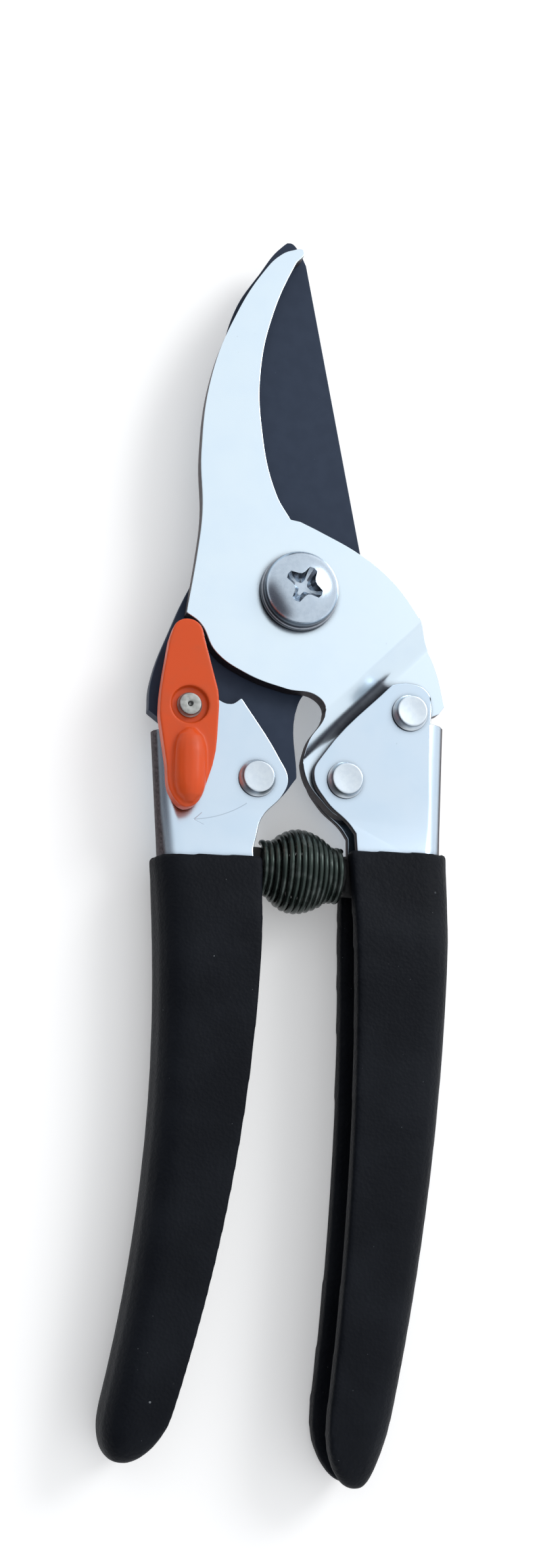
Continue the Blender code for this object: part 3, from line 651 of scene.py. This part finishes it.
@dataclass(frozen=True)
class SpringSteel(Finish):
    """Wire blackened in oil, with a green cast and rubbed patches."""

    name: str = "blackened_wire"
    slot: Slot = Slot.SPRING
    tone: Colour = (0.034, 0.048, 0.043)
    rubbed: Colour = (0.110, 0.130, 0.124)

    def fill(self, graph: Graph, surface: bpy.types.Node) -> None:
        """Feeds the surface's inputs.

        Args:
            graph: The material's graph.
            surface: Its surface shader.
        """
        place = graph.add("ShaderNodeTexCoord").outputs["Object"]
        skin = self.shared(graph, grain_group(), Coarse=1.4 * MM, Fine=0.15 * MM)
        patches = graph.step(graph.noise(place, 2.4 * MM, detail=4.0), 0.45, 0.75)
        graph.feed(surface.inputs["Base Color"], graph.blend(patches, self.tone, self.rubbed))
        surface.inputs["Metallic"].default_value = 0.75
        graph.feed(surface.inputs["Roughness"], graph.between(skin.outputs["Tone"], 0.22, 0.36))
        graph.feed(surface.inputs["Normal"], graph.bump(skin.outputs["Height"], 0.02 * MM, 0.5))


@dataclass(frozen=True)
class SinteredBronze(Finish):
    """Porous bronze."""

    name: str = "sintered_bronze"
    slot: Slot = Slot.BRONZE
    tone: Colour = (0.45, 0.27, 0.11)

    def fill(self, graph: Graph, surface: bpy.types.Node) -> None:
        """Feeds the surface's inputs.

        Args:
            graph: The material's graph.
            surface: Its surface shader.
        """
        skin = self.shared(graph, grain_group(), Coarse=0.6 * MM, Fine=0.12 * MM)
        pores = graph.step(skin.outputs["Height"], 0.40, 0.50)
        pore_tone = tuple(0.5 * part for part in self.tone)
        graph.feed(surface.inputs["Base Color"], graph.blend(pores, pore_tone, self.tone))
        surface.inputs["Metallic"].default_value = 1.0
        graph.feed(surface.inputs["Roughness"], graph.between(pores, 0.6, 0.38))
        graph.feed(surface.inputs["Normal"], graph.bump(skin.outputs["Height"], 0.03 * MM, 0.5))


@dataclass(frozen=True)
class BlackNylon(Finish):
    """Moulded black nylon with a spark-eroded skin."""

    name: str = "black_nylon"
    slot: Slot = Slot.NYLON
    tone: Colour = (0.014, 0.015, 0.016)

    def fill(self, graph: Graph, surface: bpy.types.Node) -> None:
        """Feeds the surface's inputs.

        Args:
            graph: The material's graph.
            surface: Its surface shader.
        """
        skin = self.shared(graph, grain_group(), Coarse=0.9 * MM, Fine=0.14 * MM)
        worn = graph.step(skin.outputs["Tone"], 0.4, 0.75)
        worn_tone = tuple(1.8 * part for part in self.tone)
        graph.feed(surface.inputs["Base Color"], graph.blend(worn, self.tone, worn_tone))
        graph.feed(surface.inputs["Roughness"], graph.between(worn, 0.55, 0.68))
        graph.feed(surface.inputs["Normal"], graph.bump(skin.outputs["Height"], 0.03 * MM, 0.5))


# ---------------------------------------------------------------- mesh work


def new_object(name: str, mesh: bpy.types.Mesh) -> bpy.types.Object:
    """Puts a mesh in the scene as an object at the origin.

    Args:
        name: The object's name.
        mesh: Its mesh.

    Returns:
        The new object.
    """
    obj = bpy.data.objects.new(name, mesh)
    bpy.context.scene.collection.objects.link(obj)
    return obj


def mesh_of(name: str, bm: bmesh.types.BMesh) -> bpy.types.Mesh:
    """Turns a bmesh into a smooth-shaded mesh, and frees it.

    Args:
        name: The mesh's name.
        bm: The bmesh.

    Returns:
        The new mesh.
    """
    bmesh.ops.recalc_face_normals(bm, faces=bm.faces)
    mesh = bpy.data.meshes.new(name)
    bm.to_mesh(mesh)
    bm.free()
    mesh.shade_smooth()
    return mesh


def settle(obj: bpy.types.Object) -> bpy.types.Object:
    """Applies an object's modifiers to its mesh.

    Args:
        obj: The object.

    Returns:
        The same object, with a new mesh and no modifiers.
    """
    graph = bpy.context.evaluated_depsgraph_get()
    final = obj.evaluated_get(graph)
    made = bpy.data.meshes.new_from_object(final, preserve_all_data_layers=True, depsgraph=graph)
    old = obj.data
    obj.modifiers.clear()
    obj.data = made
    bpy.data.meshes.remove(old)
    made.name = obj.name
    return obj


def soften_edges(
    obj: bpy.types.Object, radius: float, segments: int = 3, limit: float = 33.0
) -> bpy.types.Object:
    """Rounds an object's sharp edges, and keeps its flat faces' shading flat.

    Args:
        obj: The object.
        radius: How far from the edge the rounding starts.
        segments: Faces across the rounding.
        limit: The angle in degrees over which an edge counts as sharp.

    Returns:
        The same object.
    """
    bevel = obj.modifiers.new("edges", "BEVEL")
    bevel.width = radius
    bevel.segments = segments
    bevel.limit_method = "ANGLE"
    bevel.angle_limit = math.radians(limit)
    bevel.use_clamp_overlap = False
    normals = obj.modifiers.new("normals", "WEIGHTED_NORMAL")
    normals.weight = 100
    return settle(obj)


class Frame:
    """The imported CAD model: what its nodes are, where they are and which body each rides on."""

    def __init__(self) -> None:
        """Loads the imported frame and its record."""
        self.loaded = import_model()
        bodies = self.loaded["record"]["behaviour"]["bodies"]
        self.body_of = {node: body for body, nodes in bodies.items() for node in nodes}
        self.joints = {joint["name"]: joint for joint in self.loaded["record"]["behaviour"]["joints"]}

    def bmesh_of(self, node: str) -> bmesh.types.BMesh:
        """Copies a CAD node's mesh, with its seams welded and its flat faces whole.

        Args:
            node: The node's name.

        Returns:
            The copy, in the scene's own axes.
        """
        source = self.loaded["nodes"][node]
        bm = bmesh.new()
        bm.from_mesh(source.data)
        bm.transform(source.matrix_world)
        bmesh.ops.remove_doubles(bm, verts=bm.verts, dist=0.004 * MM)
        bmesh.ops.dissolve_limit(bm, angle_limit=math.radians(0.6), verts=bm.verts, edges=bm.edges)
        bm.normal_update()
        return bm

    def stand_for(self, piece: bpy.types.Object, node: str, finish: Finish) -> bpy.types.Object:
        """Puts a finished piece in a CAD node's place.

        Args:
            piece: The piece, in its final place.
            node: The node that it stands for.
            finish: What it is covered with.

        Returns:
            The same piece.
        """
        piece.data.materials.clear()
        piece.data.materials.append(finish.material())
        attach(piece, self.body_of[node])
        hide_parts(node)
        return piece

    def keep(self, node: str, finish: Finish) -> bpy.types.Object:
        """Gives a CAD node that stays its finish.

        Args:
            node: The node's name.
            finish: What it is covered with.

        Returns:
            The node's object.
        """
        kept = self.loaded["nodes"][node]
        for holder in kept.material_slots:
            holder.material = finish.material()
        return kept


# ---------------------------------------------------------------- the shears' sub-assemblies


@dataclass(frozen=True)
class PressedPlate:
    """A plate or a pressed channel, refined from its CAD node by rounding its edges.

    Where bend_radius is set, its cranks across the plate are rounded first.
    """

    node: str
    finish: Finish
    edge_radius: float = 0.22 * MM
    bend_radius: float = 0.0

    def build(self, frame: Frame) -> bpy.types.Object:
        """Makes the piece.

        Args:
            frame: The CAD model.

        Returns:
            The new piece.
        """
        bm = frame.bmesh_of(self.node)
        if self.bend_radius:
            bends = [edge for edge in bm.edges if self.is_bend(edge)]
            bmesh.ops.bevel(bm, geom=bends, offset=self.bend_radius, segments=6, profile=0.5, affect="EDGES")
        obj = new_object(self.node + "_plate", mesh_of(self.node + "_plate", bm))
        return frame.stand_for(soften_edges(obj, self.edge_radius), self.node, self.finish)

    @staticmethod
    def is_bend(edge: bmesh.types.BMEdge) -> bool:
        """Tells whether an edge is a crank's, between two faces that both look up or both look down.

        Args:
            edge: An edge of the plate.

        Returns:
            Whether it is.
        """
        if len(edge.link_faces) != 2:
            return False
        first, second = (face.normal for face in edge.link_faces)
        return first.z * second.z > 0.3 and first.angle(second) > math.radians(20)


@dataclass(frozen=True)
class CuttingBlade:
    """The blade, with its cutting edge ground away at the back.

    The grind grows to its full width between the heel's two heights, and narrows between the point's two.
    Nothing is ground past outer_x, or where the outline looks the other way.
    """

    node: str = "cutting_blade"
    finish: Finish = BladeCoating()
    edge_radius: float = 0.18 * MM
    grind_width: float = 5.6 * MM
    edge_thickness: float = 0.35 * MM
    heel: tuple[float, float] = (1.0 * MM, 12.0 * MM)
    point: tuple[float, float] = (47.0 * MM, 60.2 * MM)
    outer_x: float = -3.0 * MM
    least_facing: float = 0.25

    def width_at(self, place: Vector, inward: Vector) -> float:
        """Works out how wide the grind is at a point of the outline.

        Args:
            place: The point.
            inward: The direction into the blade there.

        Returns:
            The width, which is 0 off the cutting edge.
        """
        if inward.x <= self.least_facing or place.y < self.heel[0] or place.x > self.outer_x:
            return 0.0
        rise = min((place.y - self.heel[0]) / (self.heel[1] - self.heel[0]), 1.0)
        left = max((place.y - self.point[0]) / (self.point[1] - self.point[0]), 0.0)
        return self.grind_width * math.sin(rise * math.pi / 2) * max(1.0 - 0.86 * left, 0.1)

    def pulls(self, bm: bmesh.types.BMesh) -> dict[bmesh.types.BMVert, Vector]:
        """Works out how far the back face's outline is pulled in by the grind.

        Args:
            bm: The blade.

        Returns:
            The pull of each vertex of that outline.
        """
        bottom = min(vert.co.z for vert in bm.verts)
        pulls = {}
        for vert in bm.verts:
            walls = [face.normal for face in vert.link_faces if abs(face.normal.z) < 0.5]
            if walls and vert.co.z < bottom + 0.1 * MM:
                inward = -sum(walls, Vector()).normalized()
                pulls[vert] = inward * self.width_at(vert.co, inward)
        return pulls

    def split_walls(self, bm: bmesh.types.BMesh, pulls: dict[bmesh.types.BMVert, Vector]) -> None:
        """Splits the outline's upright walls where the grind meets what is left of the edge.

        Args:
            bm: The blade.
            pulls: The pull of each vertex of the back face's outline.
        """
        bottom = min(vert.co.z for vert in bm.verts)
        top = max(vert.co.z for vert in bm.verts)
        drop = (top - self.edge_thickness - bottom) / (top - bottom)
        uprights = [edge for edge in bm.edges if abs(edge.verts[0].co.z - edge.verts[1].co.z) > 1 * MM]
        grown = {}
        for edge in uprights:
            foot = min(edge.verts, key=lambda vert: vert.co.z)
            if foot in pulls and pulls[foot].length > 0.3 * MM:
                _, grown[foot] = bmesh.utils.edge_split(edge, foot, drop)
        for foot, fresh in grown.items():
            for edge in list(foot.link_edges):
                beside = grown.get(edge.other_vert(foot))
                joined = beside and any(link.other_vert(fresh) is beside for link in fresh.link_edges)
                shared = (face for face in edge.link_faces if fresh in face.verts and beside in face.verts)
                wall = next(shared, None)
                if beside and wall and not joined:
                    bmesh.utils.face_split(wall, fresh, beside)

    def build(self, frame: Frame) -> bpy.types.Object:
        """Makes the piece by pulling the back face's outline in from the cutting edge.

        Args:
            frame: The CAD model.

        Returns:
            The new piece.
        """
        bm = frame.bmesh_of(self.node)
        pulls = self.pulls(bm)
        self.split_walls(bm, pulls)
        for foot, pull in pulls.items():
            foot.co += pull
        obj = new_object("cutting_blade_ground", mesh_of("cutting_blade_ground", bm))
        soften_edges(obj, self.edge_radius, segments=2, limit=38.0)
        return frame.stand_for(obj, self.node, self.finish)


@dataclass(frozen=True)
class Moulding:
    """A moulded or dipped piece, refined from its CAD node by remeshing it with soft corners."""

    node: str
    finish: Finish
    voxel: float
    smoothing: int
    end_length: float = 0.0
    end_rounding: int = 70

    def build(self, frame: Frame) -> bpy.types.Object:
        """Makes the piece.

        Args:
            frame: The CAD model.

        Returns:
            The new piece.
        """
        name = self.node + "_moulded"
        obj = new_object(name, mesh_of(name, frame.bmesh_of(self.node)))
        remesh = obj.modifiers.new("skin", "REMESH")
        remesh.mode = "VOXEL"
        remesh.voxel_size = self.voxel
        remesh.use_smooth_shade = True
        smooth = obj.modifiers.new("soften", "SMOOTH")
        smooth.factor = 0.5
        smooth.iterations = self.smoothing
        settle(obj)
        if self.end_length:
            self.round_end(obj)
        return frame.stand_for(obj, self.node, self.finish)

    def round_end(self, obj: bpy.types.Object) -> None:
        """Rounds the tip of the piece's lower end, and fades out end_length above it.

        Args:
            obj: The piece.
        """
        low = min(vert.co.y for vert in obj.data.vertices)
        near = obj.vertex_groups.new(name="near_the_end")
        for vert in obj.data.vertices:
            share = 1.0 - (vert.co.y - low) / self.end_length
            if share > 0.0:
                near.add([vert.index], share, "REPLACE")
        rounding = obj.modifiers.new("end", "SMOOTH")
        rounding.factor = 0.5
        rounding.iterations = self.end_rounding
        rounding.vertex_group = near.name
        settle(obj)
        obj.vertex_groups.clear()


def turned(name: str, centre: Vector, profile: Profile, steps: int = 96) -> bpy.types.Object:
    """A piece turned about the upright axis through centre.

    Args:
        name: Its name.
        centre: A point of the axis.
        profile: Radius and height of each point, from the top round to the bottom.
        steps: Sides of the turned surface.

    Returns:
        The new object.
    """
    bm = bmesh.new()
    verts = [bm.verts.new((centre.x + radius, centre.y, height)) for radius, height in profile]
    pairs = list(zip(verts, verts[1:]))
    if profile[0][0] > 0 and profile[-1][0] > 0:
        pairs.append((verts[-1], verts[0]))
    edges = [bm.edges.new(pair) for pair in pairs]
    axis = Vector((centre.x, centre.y, 0.0))
    section = verts + edges
    bmesh.ops.spin(bm, geom=section, cent=axis, axis=(0, 0, 1), angle=math.tau, steps=steps, use_merge=True)
    bmesh.ops.remove_doubles(bm, verts=bm.verts, dist=0.002 * MM)
    return new_object(name, mesh_of(name, bm))


@dataclass(frozen=True)
class Rivet:
    """A rivet with a tapered head at each end, and a shallow dish or a dimple in its upper face."""

    node: str
    finish: Finish
    top_head: float
    back_head: float
    shank: float
    head_height: float
    taper: float
    dimple: float = 0.0
    dimple_depth: float = 0.50 * MM
    dish: float = 0.10 * MM
    land: float = 0.12 * MM
    edge_radius: float = 0.12 * MM

    def profile(self, low: float, high: float) -> list[tuple[float, float]]:
        """Draws the rivet's half section.

        Args:
            low: The height of its back end.
            high: The height of its upper end.

        Returns:
            Radius and height of each point, from the upper face's middle to the back's.
        """
        face = self.top_head - self.taper
        hollow, depths = ((0.0, 1.0), (face * 0.55, 0.7), (face * 0.9, 0.1)), self.dish
        if self.dimple:
            hollow, depths = ((0.0, 1.0), (self.dimple * 0.6, 0.76), (self.dimple, 0.0)), self.dimple_depth
        start = [(radius, high - share * depths) for radius, share in hollow]
        upper, lower = high - self.head_height, low + self.head_height
        return start + [
            (face, high),
            (self.top_head, upper + self.land),
            (self.top_head, upper),
            (self.shank, upper),
            (self.shank, lower),
            (self.back_head, lower),
            (self.back_head, lower - self.land),
            (self.back_head - self.taper, low),
            (0.0, low),
        ]

    def build(self, frame: Frame) -> bpy.types.Object:
        """Makes the piece.

        Args:
            frame: The CAD model.

        Returns:
            The new piece.
        """
        low, high = (Vector(corner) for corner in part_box(self.node))
        obj = turned(self.node + "_turned", (low + high) / 2, self.profile(low.z, high.z))
        return frame.stand_for(soften_edges(obj, self.edge_radius), self.node, self.finish)


@dataclass(frozen=True)
class Washer:
    """A flat or gently waved washer."""

    node: str
    finish: Finish
    bore: float
    wave: float = 0.0
    edge_radius: float = 0.16 * MM
    waves: int = 3

    def build(self, frame: Frame) -> bpy.types.Object:
        """Makes the piece.

        Args:
            frame: The CAD model.

        Returns:
            The new piece.
        """
        low, high = (Vector(corner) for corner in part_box(self.node))
        centre, outer = (low + high) / 2, (high.x - low.x) / 2
        profile = [(self.bore, high.z), (outer, high.z), (outer, low.z), (self.bore, low.z)]
        obj = turned(self.node + "_turned", centre, profile)
        soften_edges(obj, self.edge_radius)
        for vert in obj.data.vertices:
            angle = math.atan2(vert.co.y - centre.y, vert.co.x - centre.x)
            vert.co.z += self.wave * math.sin(self.waves * angle)
        return frame.stand_for(obj, self.node, self.finish)


@dataclass(frozen=True)
class PivotBolt:
    """The pivot bolt: a domed head with a cross recess, and a threaded end."""

    node: str = "pivot_bolt"
    finish: Finish = SatinSteel()
    head_radius: float = 6.1 * MM
    shank_radius: float = 3.0 * MM
    head_height: float = 3.4 * MM
    rim_height: float = 0.85 * MM
    thread_pitch: float = 0.55 * MM
    thread_length: float = 1.4 * MM
    recess_reach: float = 3.3 * MM
    recess_arm: float = 1.75 * MM
    recess_depth: float = 1.9 * MM
    recess_angle: float = math.radians(-25.0)
    dome_steps: int = 15
    thread_depth: float = 0.22 * MM

    def profile(self, low: float, high: float) -> list[tuple[float, float]]:
        """Draws the bolt's half section.

        Args:
            low: The height of its threaded end.
            high: The height of its crown.

        Returns:
            Radius and height of each point, from the crown to the middle of the threaded end.
        """
        rim = high - self.head_height + self.rim_height
        dome = high - rim
        points = [(0.0, high)]
        for i in range(1, self.dome_steps):
            angle = math.radians(90 - 90 * i / self.dome_steps)
            points.append((self.head_radius * math.cos(angle) ** 0.97, rim + dome * math.sin(angle)))
        under = rim - self.rim_height
        points += [(self.head_radius, rim - 0.12 * MM), (self.head_radius, under + 0.12 * MM)]
        points += [(self.head_radius - 0.2 * MM, under), (self.shank_radius, under)]
        place = low + self.thread_length
        while place > low + self.thread_pitch:
            points.append((self.shank_radius, place))
            points.append((self.shank_radius - self.thread_depth, place - self.thread_pitch / 2))
            place -= self.thread_pitch
        return points + [(self.shank_radius - 0.25 * MM, low), (0.0, low)]

    def recess(self, centre: Vector, high: float) -> bpy.types.Object:
        """Makes the cutter of the cross recess: four tapering arms with hollow corners between them.

        Args:
            centre: A point of the bolt's axis.
            high: The height of its crown.

        Returns:
            The cutter.
        """
        half, reach = self.recess_arm / 2, self.recess_reach
        outline = []
        for quarter in range(4):
            turn = Matrix.Rotation(self.recess_angle + quarter * math.pi / 2, 2)
            arm = [(reach * 0.93, -half * 0.82), (reach, 0.0), (reach * 0.93, half * 0.82)]
            hollow = [(half * 2.0, half * 1.12), (half * 1.42, half * 1.42), (half * 1.12, half * 2.0)]
            outline += [turn @ Vector(point) for point in arm + hollow]
        bm = bmesh.new()
        rings = []
        levels = {-0.5 * MM: 1.15, 0.2 * MM: 1.0, self.recess_depth * 0.75: 0.74, self.recess_depth: 0.42}
        for depth, share in levels.items():
            ring = [bm.verts.new((*(centre.xy + point * share), high - depth)) for point in outline]
            rings.append([bm.edges.new(pair) for pair in zip(ring, ring[1:] + ring[:1])])
        for first, second in zip(rings, rings[1:]):
            bmesh.ops.bridge_loops(bm, edges=first + second)
        bmesh.ops.contextual_create(bm, geom=rings[0])
        bmesh.ops.contextual_create(bm, geom=rings[-1])
        return new_object("recess_cutter", mesh_of("recess_cutter", bm))

    def build(self, frame: Frame) -> bpy.types.Object:
        """Makes the piece.

        Args:
            frame: The CAD model.

        Returns:
            The new piece.
        """
        low, high = (Vector(corner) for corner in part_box(self.node))
        centre = (low + high) / 2
        obj = turned("pivot_bolt_turned", centre, self.profile(low.z, high.z), steps=128)
        soften_edges(obj, 0.09 * MM, segments=2)
        cutter = self.recess(centre, high.z)
        cut = obj.modifiers.new("recess", "BOOLEAN")
        cut.operation, cut.solver, cut.object = "DIFFERENCE", "EXACT", cutter
        settle(obj)
        bpy.data.objects.remove(cutter)
        obj.data.shade_smooth()
        obj.data.set_sharp_from_angle(angle=math.radians(14.0))
        normals = obj.modifiers.new("normals", "WEIGHTED_NORMAL")
        normals.weight, normals.keep_sharp = 100, True
        return frame.stand_for(settle(obj), self.node, self.finish)


@dataclass(frozen=True)
class BarrelSpring:
    """The compression spring: straight end coils, a swollen middle, and closed ends."""

    node: str = "return_spring"
    finish: Finish = SpringSteel()
    wire: float = 0.47 * MM
    turns: int = 14
    end_radius: float = 4.15 * MM
    middle_radius: float = 6.45 * MM
    crest: float = 0.44
    end_share: float = 0.30
    points_a_turn: int = 40
    sides: int = 12

    def radius_at(self, share: float) -> float:
        """Works out the coil's radius somewhere along the spring.

        Args:
            share: The place, from 0 at the left end to 1 at the right.

        Returns:
            The radius.
        """
        reach = self.crest if share < self.crest else 1 - self.crest
        away = min(abs(share - self.crest) / (reach * (1 - self.end_share)), 1.0)
        return self.end_radius + (self.middle_radius - self.end_radius) * math.cos(away * math.pi / 2) ** 0.8

    def coil(self, left: Vector, right: Vector) -> bmesh.types.BMesh:
        """Winds the wire.

        Args:
            left: Where the wire's centre line starts along the spring's axis.
            right: Where it ends.

        Returns:
            The wire, with closed ends.
        """
        count = self.turns * self.points_a_turn
        path, spokes = [], []
        for i in range(count + 1):
            share, angle = i / count, math.tau * i / self.points_a_turn
            spoke = Vector((0.0, math.cos(angle), math.sin(angle)))
            path.append(left.lerp(right, share) + spoke * self.radius_at(share))
            spokes.append(spoke)
        bm = bmesh.new()
        rings = []
        for i, (point, spoke) in enumerate(zip(path, spokes)):
            along = (path[min(i + 1, count)] - path[max(i - 1, 0)]).normalized()
            across = along.cross(spoke).normalized()
            outward = across.cross(along)
            ring = []
            for side in range(self.sides):
                turn = math.tau * side / self.sides
                offset = outward * math.cos(turn) + across * math.sin(turn)
                ring.append(bm.verts.new(point + offset * self.wire))
            rings.append(ring)
        for first, second in zip(rings, rings[1:]):
            for side in range(self.sides):
                after = (side + 1) % self.sides
                bm.faces.new((first[side], first[after], second[after], second[side]))
        bm.faces.new(rings[0])
        bm.faces.new(rings[-1])
        return bm

    def build(self, frame: Frame) -> bpy.types.Object:
        """Makes the piece, which stretches between the two handles.

        Args:
            frame: The CAD model; not used.

        Returns:
            The new piece.
        """
        low, high = (Vector(corner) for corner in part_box(self.node))
        centre = (low + high) / 2
        left = Vector((low.x + self.wire, centre.y, centre.z))
        right = Vector((high.x - self.wire, centre.y, centre.z))
        obj = new_object("return_spring_coil", mesh_of("return_spring_coil", self.coil(left, right)))
        obj.data.materials.append(self.finish.material())
        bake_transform(obj)
        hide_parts(self.node)
        return obj


class Shears:
    """The whole shears as refined pieces on their CAD frame."""

    def __init__(self, frame: Frame) -> None:
        """Lists the pieces with their finishes.

        Args:
            frame: The CAD model.
        """
        self.frame = frame
        lever_pivot = frame.joints["lock_lever_turn"]["pos_m"]
        mark = ArcMark((lever_pivot[0], lever_pivot[1]), 17.7 * MM, math.radians(-82.0), math.radians(-52.0))
        plain = ChromePlate()
        # Its wider flank range spreads the painted dark reflection over the channels' curved webs.
        rolled = ChromePlate(
            name="rolled_chrome",
            tint=(0.645, 0.765, 0.885),
            cloud=(0.60, 0.73, 0.86),
            flank_start=0.88,
            flank_full=0.55,
        )
        marked = replace(rolled, name="rolled_chrome_marked", mark=mark)
        bolt_steel = SatinSteel()
        worn = SatinSteel(
            name="worn_rivet_steel",
            tone=(0.42, 0.43, 0.42),
            dark=(0.30, 0.31, 0.30),
            rough=0.42,
            pitting=0.8,
        )
        bright = SatinSteel(
            name="rivet_steel",
            tone=(0.62, 0.69, 0.75),
            dark=(0.56, 0.63, 0.70),
            rough=0.30,
            pitting=0.1,
        )
        washer_steel = SatinSteel(
            name="washer_steel",
            tone=(0.42, 0.45, 0.50),
            dark=(0.34, 0.37, 0.42),
            rough=0.26,
        )
        heads = {"top_head": 3.0 * MM, "back_head": 3.0 * MM, "shank": 2.0 * MM}
        heads |= {"head_height": 1.6 * MM, "taper": 0.5 * MM}
        self.parts = [
            PressedPlate("hook_blade", plain, edge_radius=0.13 * MM, bend_radius=1.1 * MM),
            CuttingBlade(),
            PressedPlate("left_handle", marked),
            PressedPlate("right_handle", rolled),
            Moulding("left_grip", DippedVinyl(), voxel=0.42 * MM, smoothing=14, end_length=6.0 * MM),
            Moulding("right_grip", DippedVinyl(), voxel=0.42 * MM, smoothing=14, end_length=6.0 * MM),
            Rivet("left_rivet", bright, **heads),
            Rivet("right_rivet_lower", bright, **heads),
            Rivet("right_rivet_upper", bright, **heads),
            PivotBolt(),
            Washer("pivot_washer", washer_steel, bore=3.2 * MM),
            Washer("pivot_spring_washer", washer_steel, bore=3.2 * MM, wave=0.08 * MM),
            PressedPlate("pivot_nut", bolt_steel, edge_radius=0.4 * MM),
            Moulding("lock_lever", OrangePlastic(), voxel=0.17 * MM, smoothing=14),
            Rivet("lever_rivet", worn, 2.0 * MM, 2.6 * MM, 1.4 * MM, 1.1 * MM, 0.3 * MM, dimple=0.45 * MM),
            BarrelSpring(),
            Moulding("left_spring_seat", BlackNylon(), voxel=0.2 * MM, smoothing=3),
            Moulding("right_spring_seat", BlackNylon(), voxel=0.2 * MM, smoothing=3),
        ]
        self.kept = {"pivot_bush": SinteredBronze(), "lever_washer": bolt_steel}

    def build(self) -> Iterator[bpy.types.Object]:
        """Makes every piece.

        Returns:
            Each piece in turn, and then each CAD node that stays.
        """
        for part in self.parts:
            yield part.build(self.frame)
        for node, finish in self.kept.items():
            yield self.frame.keep(node, finish)


# ---------------------------------------------------------------- studio and camera


@dataclass(frozen=True)
class SoftBox:
    """A rectangular soft light aimed at a point."""

    name: str
    place: Triple
    aim: Triple
    size: tuple[float, float]
    power: float

    def build(self) -> None:
        """Makes the light."""
        light = bpy.data.lights.new(self.name, "AREA")
        light.shape = "RECTANGLE"
        light.size, light.size_y = self.size
        light.energy = self.power
        obj = bpy.data.objects.new(self.name, light)
        obj.location = self.place
        obj.rotation_euler = (Vector(self.aim) - Vector(self.place)).to_track_quat("-Z", "Y").to_euler()
        bpy.context.scene.collection.objects.link(obj)


@dataclass(frozen=True)
class Studio:
    """A pale floor, a bright room that is darker on one side, and one soft light."""

    floor_colour: Colour = (0.955, 0.955, 0.955)
    bright: Colour = (0.97, 0.985, 1.0)
    dark: Colour = (0.11, 0.105, 0.12)
    dark_side: Triple = (-0.80, -0.42, 0.42)
    dark_reach: tuple[float, float] = (0.52, 0.88)
    strength: float = 0.97
    floor_glow: float = 0.22
    floor_half: float = 1.5
    key: SoftBox = SoftBox(
        name="key",
        place=(0.46, 0.36, 0.50),
        aim=(0.0, -0.03, 0.0),
        size=(0.30, 0.30),
        power=2.0,
    )

    def build(self) -> None:
        """Makes the room, the floor and the light."""
        bpy.context.scene.view_settings.view_transform = "Standard"
        self.room()
        self.floor()
        self.key.build()

    def room(self) -> None:
        """The world: bright all round, and dark towards one side."""
        world = bpy.data.worlds.new("room")
        bpy.context.scene.world = world
        world.use_nodes = True
        world.node_tree.nodes.clear()
        graph = Graph(world.node_tree)
        direction = graph.add("ShaderNodeTexCoord").outputs["Generated"]
        towards = Vector(self.dark_side).normalized()
        dot = graph.add("ShaderNodeVectorMath", {0: direction, 1: tuple(towards)}, operation="DOT_PRODUCT")
        share = graph.step(dot.outputs["Value"], *self.dark_reach)
        colour = graph.blend(share, self.bright, self.dark)
        background = graph.add("ShaderNodeBackground", {"Color": colour, "Strength": self.strength})
        graph.add("ShaderNodeOutputWorld", {0: background.outputs[0]})

    def floor(self) -> None:
        """A matt pale floor under the shears."""
        bm = bmesh.new()
        bmesh.ops.create_grid(bm, x_segments=8, y_segments=8, size=self.floor_half)
        obj = new_object("floor", mesh_of("floor", bm))
        obj.location.z = -0.02 * MM
        made = bpy.data.materials.new("floor_matt")
        made.use_nodes = True
        made.node_tree.nodes.clear()
        graph = Graph(made.node_tree)
        glow = {"Emission Color": (1.0, 1.0, 1.0), "Emission Strength": self.floor_glow}
        surface = graph.add("ShaderNodeBsdfPrincipled", {"Roughness": 0.9} | glow)
        tone = graph.noise(graph.add("ShaderNodeTexCoord").outputs["Object"], 0.15, detail=2.0)
        lighter = tuple(min(1.0, 1.02 * part) for part in self.floor_colour)
        graph.feed(surface.inputs["Base Color"], graph.blend(tone, self.floor_colour, lighter))
        graph.add("ShaderNodeOutputMaterial", {0: surface.outputs[0]})
        obj.data.materials.append(made)


@dataclass(frozen=True)
class Viewpoint:
    """The camera: nearly overhead, a little from the left and from the handles' side."""

    target: Triple = (0.00223, -0.06074, 0.0)
    distance: float = 0.280
    tilt_left: float = math.radians(13.0)
    tilt_down: float = math.radians(6.0)
    roll: float = math.radians(4.0)
    lens: float = 39.0
    shift: float = 0.12

    def build(self) -> None:
        """Makes the camera and sets it as the scene's."""
        data = bpy.data.cameras.new("camera")
        data.lens = self.lens
        data.shift_y = self.shift
        data.clip_start = 0.01
        obj = bpy.data.objects.new("camera", data)
        back = Vector((-math.tan(self.tilt_left), -math.tan(self.tilt_down), 1.0)).normalized()
        right = Vector((0.0, 1.0, 0.0)).cross(back).normalized()
        up = back.cross(right)
        axes = Matrix((right, up, back)).transposed()
        turned_axes = Matrix.Rotation(self.roll, 3, "Z") @ axes
        place = Vector(self.target) + turned_axes.col[2] * self.distance
        obj.matrix_world = Matrix.Translation(place) @ turned_axes.to_4x4()
        bpy.context.scene.collection.objects.link(obj)
        bpy.context.scene.camera = obj


def main() -> None:
    """Builds the scene, and logs each piece with its face count."""
    logging.basicConfig(level=logging.INFO, format="%(name)s: %(message)s")
    frame = Frame()
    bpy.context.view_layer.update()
    Studio().build()
    Viewpoint().build()
    for piece in Shears(frame).build():
        LOG.info("%s: %d faces", piece.name, len(piece.data.polygons))


if __name__ == "__main__":
    main()
